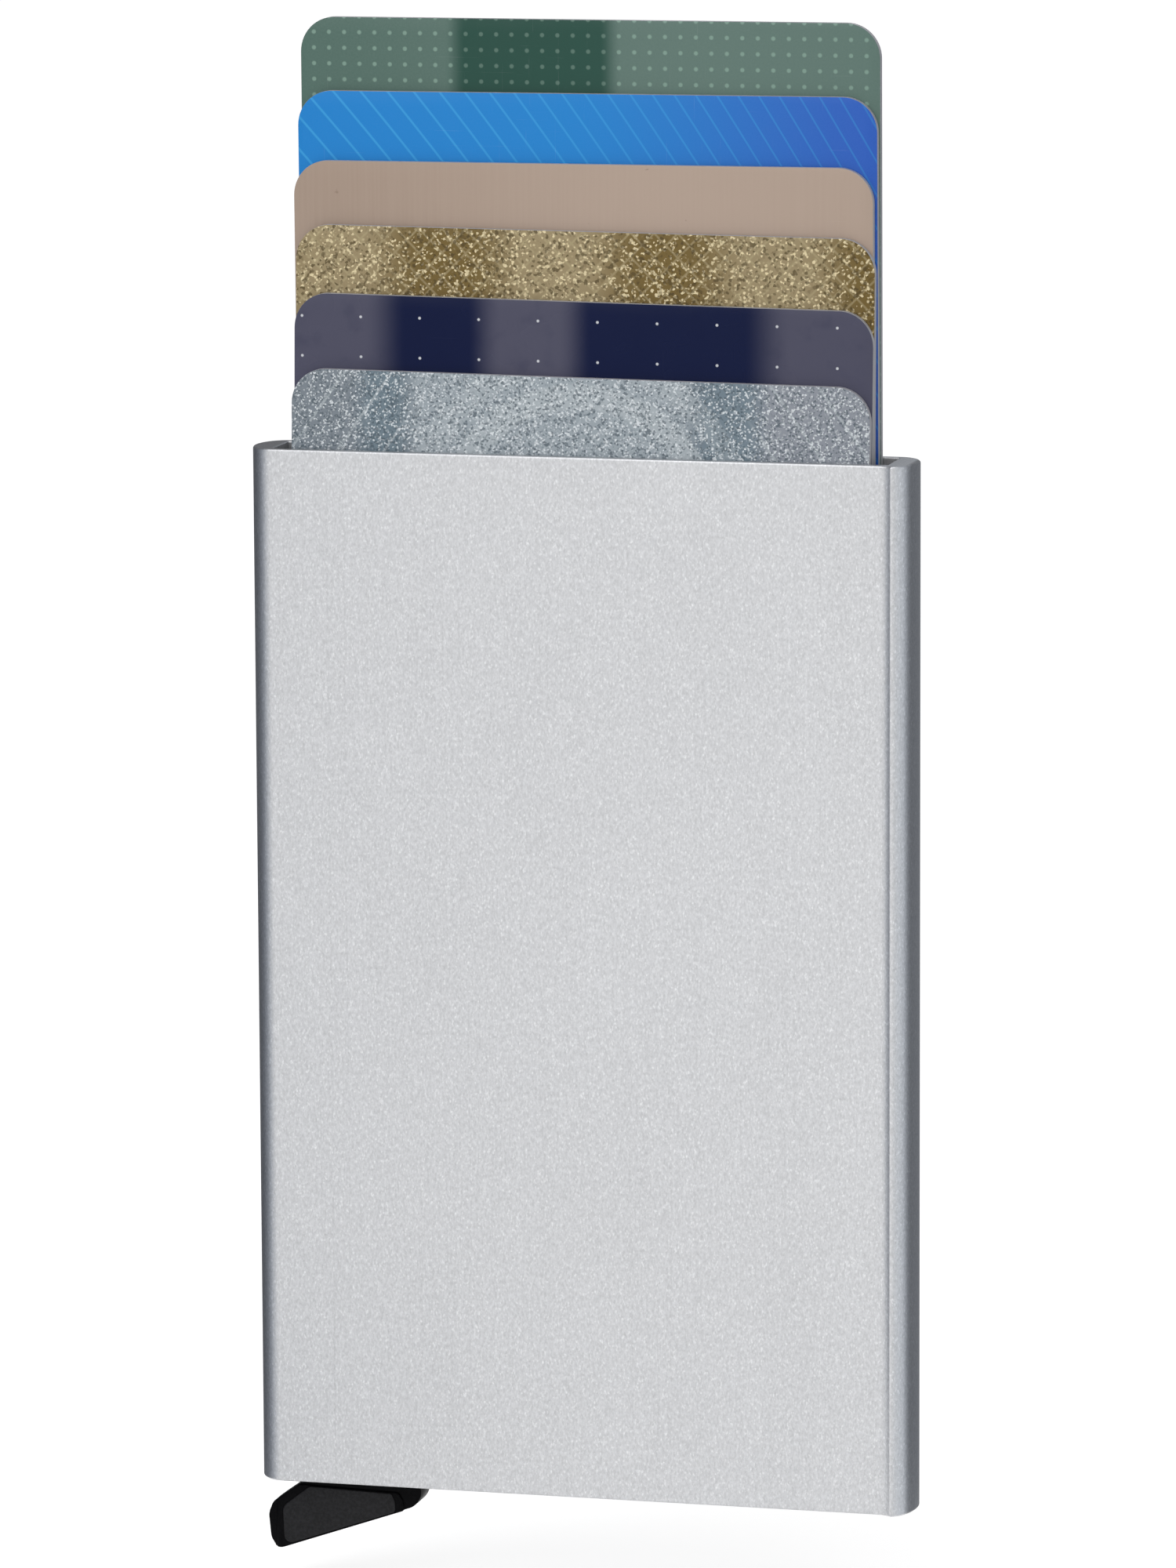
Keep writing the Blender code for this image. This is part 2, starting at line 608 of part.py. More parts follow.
def make_card(index, parts, material):
    """A card whose origin is the middle of its upper edge."""
    half = CARD_WIDTH / 2
    outline = rectangle(-half, half, -CARD_LENGTH, 0.0, CARD_CORNER_RADIUS)
    outline = turned(outline, -CARD_LEANS[index])
    middle = card_front(index) + CARD_THICKNESS / 2
    card = flat_piece("card_%d" % (index + 1), [outline], CARD_THICKNESS,
                      (CARD_SHIFTS[index], middle, RIM + CARD_RISES[index]), parts)
    finish(card, material)


def make_materials():
    materials = {
        "aluminium": new_material("satin_aluminium", (0.72, 0.72, 0.73), 0.38, 1.0),
        "black_frame": new_material("black_frame_plastic", (0.02, 0.02, 0.022), 0.55),
        "black_lever": new_material("black_lever_plastic", (0.015, 0.015, 0.017), 0.42),
        "steel": new_material("spring_steel", (0.6, 0.6, 0.61), 0.3, 1.0),
        "felt": new_material("grey_felt", (0.2, 0.2, 0.21), 0.95),
    }
    colours = (
        ("grey", (0.24, 0.27, 0.3)),
        ("navy", (0.02, 0.03, 0.06)),
        ("gold", (0.33, 0.28, 0.18)),
        ("tan", (0.44, 0.33, 0.22)),
        ("blue", (0.06, 0.16, 0.36)),
        ("green", (0.03, 0.16, 0.1)),
    )
    for word, colour in colours:
        materials[word] = new_material(word + "_card", colour, 0.3)
    return materials, [word for word, _ in colours]


def main():
    clear_scene()
    parts = new_collection("card_holder")
    tools = new_collection("cutters")
    materials, card_colours = make_materials()
    make_shell(parts, materials)
    make_frame(parts, tools, materials)
    make_felts(parts, materials)
    make_pin(parts, materials)
    make_spring(parts, materials)
    make_lever(parts, tools, materials)
    make_lever_arm(parts, tools, materials)
    for index in range(CARD_COUNT):
        make_card(index, parts, materials[card_colours[index]])


main()
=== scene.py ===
import math
import bmesh
import bpy
from mathutils import Matrix, Vector


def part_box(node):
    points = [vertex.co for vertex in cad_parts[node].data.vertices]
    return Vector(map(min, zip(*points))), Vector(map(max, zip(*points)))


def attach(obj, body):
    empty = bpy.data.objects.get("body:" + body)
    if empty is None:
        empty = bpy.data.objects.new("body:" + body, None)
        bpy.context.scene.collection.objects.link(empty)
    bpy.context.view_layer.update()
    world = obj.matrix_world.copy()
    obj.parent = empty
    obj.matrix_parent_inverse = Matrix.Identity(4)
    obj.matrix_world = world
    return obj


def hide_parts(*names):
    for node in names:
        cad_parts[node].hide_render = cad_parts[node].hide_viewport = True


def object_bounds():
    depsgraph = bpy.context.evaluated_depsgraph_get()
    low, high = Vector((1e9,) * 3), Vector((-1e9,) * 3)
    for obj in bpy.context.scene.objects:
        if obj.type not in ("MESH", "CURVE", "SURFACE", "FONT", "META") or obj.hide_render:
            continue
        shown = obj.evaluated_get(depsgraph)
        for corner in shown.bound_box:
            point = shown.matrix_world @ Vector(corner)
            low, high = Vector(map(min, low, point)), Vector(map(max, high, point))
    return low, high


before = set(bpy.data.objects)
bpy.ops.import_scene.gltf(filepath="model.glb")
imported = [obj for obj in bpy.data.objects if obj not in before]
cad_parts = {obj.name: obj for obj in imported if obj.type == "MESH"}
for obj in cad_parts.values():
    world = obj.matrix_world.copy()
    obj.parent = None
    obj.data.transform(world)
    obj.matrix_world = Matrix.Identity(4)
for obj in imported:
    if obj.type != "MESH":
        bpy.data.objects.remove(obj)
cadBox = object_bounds()
mm = 0.001
print("frame loaded:", ", ".join(sorted(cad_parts)))

# the other pieces are measured from the case; its back is flat, where the solid's rail stands proud
caseLow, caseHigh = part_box("shell")
middleY = (caseLow.y + caseHigh.y) / 2
caseHalfDepth, pivotIn, pivotUp = 3.5 * mm, 9.5 * mm, 4.3 * mm
backY = middleY + caseHalfDepth
leftX, bottomZ, rimZ = caseLow.x, caseLow.z, caseHigh.z
pivot = Vector((leftX + pivotIn, middleY, bottomZ + pivotUp))
# points nearer than weld are merged; the others say how far off its place a point may lie and still count
weld, hair, touch, loose = 0.0005 * mm, 0.001 * mm, 0.002 * mm, 0.01 * mm


def objectMode():
    bpy.ops.object.mode_set(mode="OBJECT")


def onlySelect(*chosen):
    if bpy.context.object and bpy.context.object.mode != "OBJECT":
        objectMode()
    bpy.ops.object.select_all(action="DESELECT")
    for piece in chosen:
        piece.select_set(True)
    if chosen:
        bpy.context.view_layer.objects.active = chosen[0]


def nameIt(name):
    piece = bpy.context.object
    piece.name = name
    piece.data.name = name
    return piece


def applyPlace():
    bpy.ops.object.transform_apply(location=True, rotation=True, scale=True)


def editMode(piece):
    onlySelect(piece)
    bpy.ops.object.mode_set(mode="EDIT")


def selectAll():
    bpy.ops.mesh.select_all(action="SELECT")


def selectNone():
    bpy.ops.mesh.select_all(action="DESELECT")


# kind is VERT, EDGE or FACE, and test tells which ones by their place or normal
def pick(piece, kind, test):
    bpy.ops.mesh.select_mode(type=kind)
    selectNone()
    mesh = bmesh.from_edit_mesh(piece.data)
    for item in {"VERT": mesh.verts, "EDGE": mesh.edges, "FACE": mesh.faces}[kind]:
        if test(item):
            item.select_set(True)
    mesh.select_flush_mode()
    bmesh.update_edit_mesh(piece.data)


def middleOf(item):
    return sum((v.co for v in item.verts), Vector()) / len(item.verts)


def near(a, b):
    return abs(a - b) < touch


def slide(x=0.0, y=0.0, z=0.0):
    bpy.ops.transform.translate(value=(x, y, z))


def pull(x=0.0, y=0.0, z=0.0):
    bpy.ops.mesh.extrude_region_move(TRANSFORM_OT_translate={"value": (x, y, z)})


def squeeze(x, y, centre):
    bpy.ops.transform.resize(value=(x, y, 1), center_override=centre)


def faceOutwards():
    selectAll()
    bpy.ops.mesh.remove_doubles(threshold=weld)
    bpy.ops.mesh.normals_make_consistent(inside=False)


def applyModifiers(piece):
    onlySelect(piece)
    for modifier in list(piece.modifiers):
        bpy.ops.object.modifier_apply(modifier=modifier.name)


# rounds the edges that turn by more than the angle
def roundEdges(piece, width, segments, degrees):
    bevel = piece.modifiers.new("rounding", "BEVEL")
    bevel.width, bevel.segments = width, segments
    bevel.limit_method, bevel.angle_limit = "ANGLE", math.radians(degrees)
    applyModifiers(piece)


def smooth(piece, degrees=35):
    onlySelect(piece)
    bpy.ops.object.shade_smooth_by_angle(angle=math.radians(degrees))


# puts the place into the mesh, gives the finish and says which body carries the piece
def settle(piece, body, slotName, *materials):
    onlySelect(piece)
    applyPlace()
    piece.data.materials.clear()
    for material in materials:
        piece.data.materials.append(material)
    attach(piece, body)


# gives some faces another of the piece's materials, in edit mode
def paint(piece, number, test):
    pick(piece, "FACE", test)
    piece.active_material_index = number
    bpy.ops.object.material_slot_assign()


# a flat plate from its corners (x, z, rounding), front face at y = front
def addPlate(name, corners, front, back, steps=10):
    count = len(corners)
    bpy.ops.mesh.primitive_circle_add(vertices=count, radius=1 * mm, fill_type="NGON",
                                      rotation=(math.pi / 2, 0, 0))
    plate = nameIt(name)
    onlySelect(plate)
    applyPlace()
    editMode(plate)
    for i, (x, z, _) in enumerate(corners):
        pick(plate, "VERT", lambda v: v.index == i)
        at = bmesh.from_edit_mesh(plate.data).verts
        at.ensure_lookup_table()
        here = at[i].co.copy()
        slide(x - here.x, front - here.y, z - here.z)
    for i, (x, z, rounding) in enumerate(corners):
        if rounding == 0:
            continue
        here = Vector((x, z))
        before = Vector(corners[i - 1][:2]) - here
        after = Vector(corners[(i + 1) % count][:2]) - here
        reach = rounding / math.tan(before.angle(after) / 2)
        pick(plate, "VERT", lambda v: near(v.co.x, x) and near(v.co.z, z))
        bpy.ops.mesh.bevel(offset=reach, segments=steps, affect="VERTICES", clamp_overlap=False)
    selectAll()
    pull(y=back - front)
    faceOutwards()
    objectMode()
    return plate


# materials: helpers that add nodes, laid out in rows, and link them or give them values
def newMaterial(name):
    material = bpy.data.materials.new(name)
    material.use_nodes = True
    return material, material.node_tree, material.node_tree.nodes["Principled BSDF"]


def give(tree, socket, value):
    if isinstance(value, bpy.types.NodeSocket):
        tree.links.new(value, socket)
    else:
        socket.default_value = value


def giveAll(tree, node, values):
    for key, value in values.items():
        give(tree, node.inputs[key], value)


def addNode(tree, kind, inputs=None, **settings):
    node = tree.nodes.new(kind)
    node.location = (-220 * (1 + len(tree.nodes) % 9), -170 * (len(tree.nodes) // 9))
    for key, value in settings.items():
        setattr(node, key, value)
    giveAll(tree, node, inputs or {})
    return node


def calc(tree, operation, *values, clamp=False):
    node = addNode(tree, "ShaderNodeMath", operation=operation, use_clamp=clamp)
    for socket, value in zip(node.inputs, values):
        give(tree, socket, value)
    return node.outputs[0]


# joins any number of values by one operation
def fold(tree, operation, first, *others):
    for other in others:
        first = calc(tree, operation, first, other)
    return first


def times(tree, *values):
    return fold(tree, "MULTIPLY", *values)


def plus(tree, *values):
    return fold(tree, "ADD", *values)


def fade(tree, value, low, high, first=0.0, last=1.0):
    return addNode(tree, "ShaderNodeMapRange", interpolation_type="SMOOTHSTEP", inputs={
        "Value": value, "From Min": low, "From Max": high, "To Min": first, "To Max": last}).outputs["Result"]


def blendColours(tree, amount, first, second, mode="MIX"):
    node = addNode(tree, "ShaderNodeMix", data_type="RGBA", blend_type=mode)
    give(tree, node.inputs[0], amount)
    for socket, value in ((node.inputs[6], first), (node.inputs[7], second)):
        give(tree, socket, (*value, 1) if isinstance(value, tuple) else value)
    return node.outputs[2]


# mixes a second colour in where the mask shows, by a share of its strength
def tint(tree, colour, second, mask, share):
    return blendColours(tree, times(tree, mask, share), colour, second)


def apart(tree, vector):
    return addNode(tree, "ShaderNodeSeparateXYZ", inputs={"Vector": vector}).outputs


def stretched(tree, vector, scale, turn=(0, 0, 0)):
    return addNode(tree, "ShaderNodeMapping", inputs={
        "Vector": vector, "Rotation": turn, "Scale": scale}).outputs[0]


# object coordinates in millimetres, measured from the centre
def millimetres(tree, centre=(0, 0, 0)):
    places = addNode(tree, "ShaderNodeTexCoord").outputs["Object"]
    return addNode(tree, "ShaderNodeMapping", vector_type="TEXTURE", inputs={
        "Vector": places, "Location": centre, "Scale": (mm, mm, mm)}).outputs[0]


def noise(tree, vector, scale, detail=2.0, roughness=0.5):
    return addNode(tree, "ShaderNodeTexNoise", inputs={
        "Vector": vector, "Scale": scale, "Detail": detail, "Roughness": roughness}).outputs["Fac"]


# the height gives the relief, whose depth is in millimetres
def addRelief(tree, shader, strength, depth, height):
    bump = addNode(tree, "ShaderNodeBump", inputs={
        "Strength": strength, "Distance": depth * mm, "Height": height})
    give(tree, shader.inputs["Normal"], bump.outputs[0])


# soft bands across a piece: 1 inside a band, 0 outside; each is its middle, half width and edge
def bands(tree, across, *places):
    masks = []
    for middle, half, edge in places:
        far = calc(tree, "ABSOLUTE", calc(tree, "SUBTRACT", across, middle))
        masks.append(fade(tree, far, half, half + edge, 1.0, 0.0))
    return fold(tree, "MAXIMUM", *masks)


def hypotenuse(tree, a, b):
    return calc(tree, "SQRT", plus(tree, times(tree, a, a), times(tree, b, b)))


# rows of round dots: 1 inside a dot, 0 between
def dots(tree, across, up, pitchX, pitchZ, radius):
    far = hypotenuse(tree, calc(tree, "PINGPONG", across, pitchX / 2), calc(tree, "PINGPONG", up, pitchZ / 2))
    return fade(tree, far, radius * 0.6, radius * 1.3, 1.0, 0.0)


# slanted lines: 1 on a line, 0 between
def stripes(tree, across, up, slope, pitch, width, bend=0.0):
    run = plus(tree, across, times(tree, up, slope))
    if bend:
        run = plus(tree, run, times(tree, across, across, bend))
    return fade(tree, calc(tree, "PINGPONG", run, pitch / 2), width * 0.3, width, 1.0, 0.0)


# flakes of one tone each, of which those above low show
def glitter(tree, places, size, low, high):
    flakes = addNode(tree, "ShaderNodeTexVoronoi", feature="F1", inputs={"Vector": places, "Scale": size})
    tone = addNode(tree, "ShaderNodeSeparateColor", inputs={"Color": flakes.outputs["Color"]}).outputs[0]
    return fade(tree, tone, low, high)


# every group takes its places as a vector, and its other sockets are plain values
def newGroup(name, inputs, outputs):
    tree = bpy.data.node_groups.new(name, "ShaderNodeTree")
    tree.interface.new_socket(name="Places", in_out="INPUT", socket_type="NodeSocketVector")
    for socketName, value in inputs.items():
        socket = tree.interface.new_socket(name=socketName, in_out="INPUT", socket_type="NodeSocketFloat")
        socket.default_value = value
    for socketName in outputs:
        tree.interface.new_socket(name=socketName, in_out="OUTPUT", socket_type="NodeSocketFloat")
    return tree, addNode(tree, "NodeGroupInput").outputs, addNode(tree, "NodeGroupOutput")


def placeGroup(tree, group, **inputs):
    return addNode(tree, "ShaderNodeGroup", node_tree=group, inputs=inputs).outputs


# blasted grain: pits for the relief, painted glints (a lighter colour where a grain would catch the light),
# and a wide faint cloud
def makeGrainGroup():
    tree, given, result = newGroup("blastedGrain", {"Grain": 6.0, "Sparkle": 0.5},
                                   ("Height", "PaintedGlints", "Cloud"))
    places, size = given["Places"], given["Grain"]
    pits = addNode(tree, "ShaderNodeTexVoronoi", feature="F1", inputs={"Vector": places, "Scale": size})
    fine = noise(tree, places, times(tree, size, 0.55), 3, 0.65)
    tone = addNode(tree, "ShaderNodeSeparateColor", inputs={"Color": pits.outputs["Color"]}).outputs[0]
    giveAll(tree, result, {"Height": plus(tree, times(tree, pits.outputs["Distance"], 0.5), fine),
                           "PaintedGlints": times(tree, fade(tree, tone, 0.8, 1.0), given["Sparkle"]),
                           "Cloud": noise(tree, places, 0.09, 3, 0.55)})
    return tree


# rubbed edges and a painted edge highlight: where the surface turns sharply outwards, broken up by a little
# noise
def makeWearAndHighlightGroup():
    tree, given, result = newGroup("rubbedEdgesAndPaintedHighlight", {"Amount": 0.5}, ("Mask",))
    turns = addNode(tree, "ShaderNodeNewGeometry").outputs["Pointiness"]
    rim = fade(tree, turns, 0.53, 0.62)
    patchy = fade(tree, noise(tree, given["Places"], 1.1, 4, 0.6), 0.35, 0.65)
    giveAll(tree, result, {"Mask": times(tree, rim, patchy, given["Amount"])})
    return tree


# handling marks: hair-fine scratches in two directions and a faint smudge
def makeHandlingGroup():
    tree, given, result = newGroup("handlingMarks", {"Amount": 0.5}, ("Scratches", "Smudge"))
    places = given["Places"]
    marks = []
    for turn, scale in ((0.35, (0.05, 1.0, 6.0)), (-0.9, (6.0, 1.0, 0.06))):
        run = stretched(tree, places, scale, (0, turn, 0))
        marks.append(fade(tree, noise(tree, run, 1.6, 4, 0.7), 0.66, 0.72))
    giveAll(tree, result, {"Scratches": times(tree, fold(tree, "MAXIMUM", *marks), given["Amount"]),
                           "Smudge": fade(tree, noise(tree, places, 0.11, 3, 0.6), 0.35, 0.7)})
    return tree


grainGroup, wearAndHighlightGroup, handlingGroup = makeGrainGroup(), makeWearAndHighlightGroup(), makeHandlingGroup()


# two faint seams run along the extrusion, and the rail's outer flank is darkened with painted shade
def makeAluminium():
    look = {"metal": (0.535, 0.54, 0.553), "paintedGlint": (0.72, 0.725, 0.735), "rubbedAndHighlight": (0.72, 0.73, 0.75),
            "grain": 9.0, "drawn": (1, 1, 0.55), "sparkle": 0.5, "fine": 4.6, "dieLines": (3.2, 3.2, 0.012),
            "baseShade": 0.56, "fineShade": 0.75, "lineShade": 0.10, "cloudShade": 0.06, "seamShade": -0.035,
            "seams": ((-23.35, 0.0, 0.16), (-21.8, 0.0, 0.16)), "flank": (30.35, 30.85, 1.0, 0.45),
            "wearAndHighlight": 0.5, "roughness": 0.37, "lineRoughness": 0.10, "relief": 0.01, "lineRelief": 0.6,
            "seamRelief": -0.5}
    material, tree, shader = newMaterial("satinAluminium")
    places = millimetres(tree)
    # the grains are drawn out a little along the extrusion
    drawn = stretched(tree, places, look["drawn"])
    grain = placeGroup(tree, grainGroup, Places=drawn, Grain=look["grain"], Sparkle=look["sparkle"])
    # faint die lines run the length of the extrusion
    lines = noise(tree, stretched(tree, places, look["dieLines"]), 1.0, 4, 0.7)
    across = apart(tree, places)[0]
    seam = bands(tree, across, *look["seams"])
    # the paler edges are partly rubbed metal and partly a painted highlight along the rims
    wearAndHighlight = placeGroup(tree, wearAndHighlightGroup, Places=places, Amount=look["wearAndHighlight"])
    # painted highlight: grains that would catch the light get a paler colour
    colour = blendColours(tree, grain["PaintedGlints"], look["metal"], look["paintedGlint"])
    fine = noise(tree, drawn, look["fine"], 3, 0.75)
    shade = plus(tree, times(tree, lines, look["lineShade"]), times(tree, grain["Cloud"], look["cloudShade"]),
                 times(tree, seam, look["seamShade"]), times(tree, fine, look["fineShade"]), look["baseShade"])
    # painted shade: the colour darkens across the rail's outer flank, towards its outer side
    shade = times(tree, shade, fade(tree, across, *look["flank"]))
    grey = addNode(tree, "ShaderNodeCombineColor", inputs={key: shade for key in ("Red", "Green", "Blue")})
    colour = blendColours(tree, 1.0, colour, grey.outputs[0], "MULTIPLY")
    giveAll(tree, shader, {
        "Base Color": blendColours(tree, wearAndHighlight["Mask"], colour, look["rubbedAndHighlight"]), "Metallic": 1.0,
        "Roughness": plus(tree, look["roughness"], times(tree, lines, look["lineRoughness"]))})
    height = plus(tree, grain["Height"], times(tree, lines, look["lineRelief"]),
                  times(tree, seam, look["seamRelief"]))
    addRelief(tree, shader, 0.5, look["relief"], height)
    return material


def makePlastic(name, look):
    material, tree, shader = newMaterial(name)
    places = millimetres(tree)
    texture = noise(tree, places, look["texture"], 3, 0.6)
    marks = placeGroup(tree, handlingGroup, Places=places, Amount=look["marks"])
    tone = times(tree, fade(tree, texture, 0.3, 0.7), 0.5)
    colour = blendColours(tree, tone, look["dark"], look["pale"])
    giveAll(tree, shader, {
        "Base Color": tint(tree, colour, look["scratch"], marks["Scratches"], 0.35),
        "Roughness": plus(tree, look["roughness"] - 0.06, times(tree, marks["Smudge"], 0.12)),
        "Specular IOR Level": look["gloss"]})
    addRelief(tree, shader, 0.35, look["relief"], texture)
    return material


def makeSteel(name, metal, roughness, drawn):
    material, tree, shader = newMaterial(name)
    lines = noise(tree, stretched(tree, millimetres(tree), drawn), 3.0, 4, 0.7)
    giveAll(tree, shader, {"Base Color": blendColours(tree, lines, tuple(c * 0.82 for c in metal), metal),
                           "Roughness": fade(tree, lines, 0.2, 0.8, roughness - 0.06, roughness + 0.08),
                           "Metallic": 1.0})
    addRelief(tree, shader, 0.25, 0.004, lines)
    return material


def makeFelt():
    look = {"dark": (0.035, 0.036, 0.04), "pale": (0.11, 0.11, 0.115), "fibre": 5.0, "relief": 0.06}
    material, tree, shader = newMaterial("greyFelt")
    places = millimetres(tree)
    bent = addNode(tree, "ShaderNodeTexNoise", inputs={"Vector": places, "Scale": 2.2, "Detail": 2.0})
    swirled = blendColours(tree, 0.25, places, bent.outputs["Color"])
    fibres = noise(tree, swirled, look["fibre"], 6, 0.75)
    tone = fade(tree, fibres, 0.35, 0.65)
    giveAll(tree, shader, {"Base Color": blendColours(tree, tone, look["dark"], look["pale"]),
                           "Roughness": 0.95, "Sheen Weight": 0.4})
    addRelief(tree, shader, 0.8, look["relief"], fibres)
    return material


aluminium = makeAluminium()
leverPlastic = makePlastic("leverPlastic", {
    "dark": (0.002, 0.002, 0.0025), "pale": (0.006, 0.006, 0.007), "scratch": (0.05, 0.05, 0.05),
    "texture": 4.5, "marks": 0.4, "roughness": 0.38, "gloss": 0.04, "relief": 0.01})
padPlastic = makePlastic("thumbPadPlastic", {
    "dark": (0.008, 0.008, 0.009), "pale": (0.026, 0.026, 0.029), "scratch": (0.08, 0.08, 0.08),
    "texture": 3.6, "marks": 0.7, "roughness": 0.55, "gloss": 0.18, "relief": 0.03})
framePlastic = makePlastic("framePlastic", {
    "dark": (0.008, 0.008, 0.009), "pale": (0.022, 0.022, 0.024), "scratch": (0.06, 0.06, 0.06),
    "texture": 3.0, "marks": 0.3, "roughness": 0.55, "gloss": 0.2, "relief": 0.02})
springSteel = makeSteel("springSteel", (0.56, 0.55, 0.53), 0.28, (1, 1, 1))
pinSteel = makeSteel("pinSteel", (0.62, 0.62, 0.62), 0.24, (6, 0.3, 6))
felt = makeFelt()
print("plain finishes made")


# every card has the same layered core, which shows at its edges
def makeCardCore():
    look = {"dark": (0.2, 0.2, 0.23), "pale": (0.5, 0.5, 0.53), "roughness": 0.5, "relief": 0.01}
    material, tree, shader = newMaterial("cardCore")
    layers = noise(tree, stretched(tree, millimetres(tree), (1, 14, 1)), 1.2, 3, 0.6)
    giveAll(tree, shader, {"Base Color": blendColours(tree, layers, look["dark"], look["pale"]),
                           "Roughness": look["roughness"]})
    addRelief(tree, shader, 0.3, look["relief"], layers)
    return material


# a card's print is measured in millimetres from the middle of its top edge
def startCardPrint(name, centre):
    material, tree, shader = newMaterial(name)
    places = millimetres(tree, centre)
    parts = apart(tree, places)
    return material, tree, shader, places, parts[0], parts[2]


# the clear film over a print: gloss, fine scratches and a faint orange-peel ripple
def addFilm(tree, shader, places, colour, roughness=0.28, marks=0.5, markColour=(0.75, 0.77, 0.8),
            gloss=0.25):
    handling = placeGroup(tree, handlingGroup, Places=places, Amount=marks)
    giveAll(tree, shader, {
        "Base Color": tint(tree, colour, markColour, handling["Scratches"], 0.3),
        "Roughness": plus(tree, roughness, times(tree, handling["Smudge"], 0.1)),
        "Specular IOR Level": gloss})
    addRelief(tree, shader, 0.15, 0.01, noise(tree, places, 0.8, 2, 0.5))


def makeGreenPrint(centre):
    look = {"left": (0.078, 0.15, 0.122), "right": (0.112, 0.188, 0.16), "dark": (0.012, 0.069, 0.049),
            "fleck": (0.19, 0.28, 0.25), "dot": (0.26, 0.4, 0.33), "blend": (-27.0, 14.0),
            "cloud": (-5.2, 6.3, 2.0), "pitch": 1.43, "radius": 0.2}
    material, tree, shader, places, across, up = startCardPrint("greenPrint", centre)
    base = blendColours(tree, fade(tree, across, *look["blend"]), look["left"], look["right"])
    colour = tint(tree, base, look["fleck"], noise(tree, places, 5.0, 2, 0.6), 0.3)
    cloud = bands(tree, across, look["cloud"])
    colour = blendColours(tree, cloud, colour, look["dark"])
    spots = times(tree, dots(tree, across, up, look["pitch"], look["pitch"], look["radius"]),
                  fade(tree, cloud, 0.0, 1.0, 0.75, 0.35))
    addFilm(tree, shader, places, blendColours(tree, spots, colour, look["dot"]))
    return material


def makeBluePrint(centre):
    look = {"left": (0.004, 0.235, 0.66), "right": (0.024, 0.106, 0.54), "fleck": (0.1, 0.32, 0.75),
            "line": (0.045, 0.38, 0.78), "blend": (-4.0, 31.0), "slope": 0.72, "pitch": 2.15, "width": 0.17,
            "bend": 0.004, "lineFade": (-27.0, 27.0, 0.75, 0.3)}
    material, tree, shader, places, across, up = startCardPrint("bluePrint", centre)
    colour = blendColours(tree, fade(tree, across, *look["blend"]), look["left"], look["right"])
    colour = tint(tree, colour, look["fleck"], noise(tree, places, 5.5, 2, 0.6), 0.12)
    lines = stripes(tree, across, up, look["slope"], look["pitch"], look["width"], look["bend"])
    lines = times(tree, lines, fade(tree, across, *look["lineFade"]))
    addFilm(tree, shader, places, blendColours(tree, lines, colour, look["line"]))
    return material


def makeTanPrint(centre):
    look = {"left": (0.385, 0.287, 0.225), "right": (0.47, 0.36, 0.29), "pale": (0.55, 0.44, 0.36),
            "speck": (0.2, 0.14, 0.1), "blend": (-27.0, 10.0), "brushed": (2.6, 1.0, 0.05)}
    material, tree, shader, places, across, _ = startCardPrint("tanPrint", centre)
    grain = noise(tree, stretched(tree, places, look["brushed"]), 1.0, 3, 0.6)
    colour = blendColours(tree, fade(tree, across, *look["blend"]), look["left"], look["right"])
    colour = tint(tree, colour, look["pale"], grain, 0.35)
    specks = fade(tree, noise(tree, places, 0.9, 3, 0.6), 0.7, 0.76)
    addFilm(tree, shader, places, tint(tree, colour, look["speck"], specks, 0.5), roughness=0.34, marks=0.25)
    return material


# a painted sheen in waves across the card, a net of fine lines and two sorts of flakes
def makeGoldPrint(centre):
    look = {"deep": (0.175, 0.115, 0.028), "gold": (0.35, 0.275, 0.15), "net": (0.5, 0.42, 0.24),
            "flake": (0.8, 0.68, 0.42), "darkFlake": (0.07, 0.045, 0.01),
            "waveShift": 2.7, "waveTurn": 0.3065, "blend": (-0.85, 0.9), "pitch": 2.2, "width": 0.2}
    material, tree, shader, places, across, up = startCardPrint("goldPrint", centre)
    # painted sheen: the colour runs from deep to gold in waves across the card
    paintedSheenWave = calc(tree, "COSINE", times(tree, plus(tree, across, look["waveShift"]), look["waveTurn"]))
    colour = blendColours(tree, fade(tree, paintedSheenWave, *look["blend"]), look["deep"], look["gold"])
    nets = [stripes(tree, across, up, slope, look["pitch"], look["width"]) for slope in (1.0, -1.0)]
    colour = tint(tree, colour, look["net"], fold(tree, "MAXIMUM", *nets), 0.4)
    colour = blendColours(tree, glitter(tree, places, 5.0, 0.74, 0.96), colour, look["flake"])
    colour = tint(tree, colour, look["darkFlake"], glitter(tree, places, 4.1, 0.7, 0.95), 0.75)
    addFilm(tree, shader, places, colour, roughness=0.32, marks=0.2)
    return material


def makeNavyPrint(centre):
    look = {"navy": (0.003, 0.008, 0.046), "paintedSheen": (0.088, 0.088, 0.134), "dot": (0.72, 0.74, 0.78),
            "mark": (0.15, 0.17, 0.28), "paintedSheenBands": ((-25.5, 5.0, 4.0), (-4.9, 2.6, 3.2), (24.5, 5.0, 4.5)),
            "dotShift": (-1.46, 1.8), "pitch": (5.55, 3.65), "radius": 0.13}
    material, tree, shader, places, across, up = startCardPrint("navyPrint", centre)
    # painted sheen: grey bands of reflected light across the navy, broken up by noise
    patchy = fade(tree, noise(tree, places, 0.4, 2, 0.5), 0.2, 0.5, 0.8, 1.0)
    paintedSheen = times(tree, bands(tree, across, *look["paintedSheenBands"]), patchy)
    colour = blendColours(tree, paintedSheen, look["navy"], look["paintedSheen"])
    shifted = [plus(tree, value, shift) for value, shift in zip((across, up), look["dotShift"])]
    spots = times(tree, dots(tree, *shifted, *look["pitch"], look["radius"]), 0.9)
    colour = blendColours(tree, spots, colour, look["dot"])
    addFilm(tree, shader, places, colour, roughness=0.2, marks=0.3, markColour=look["mark"], gloss=0.1)
    return material


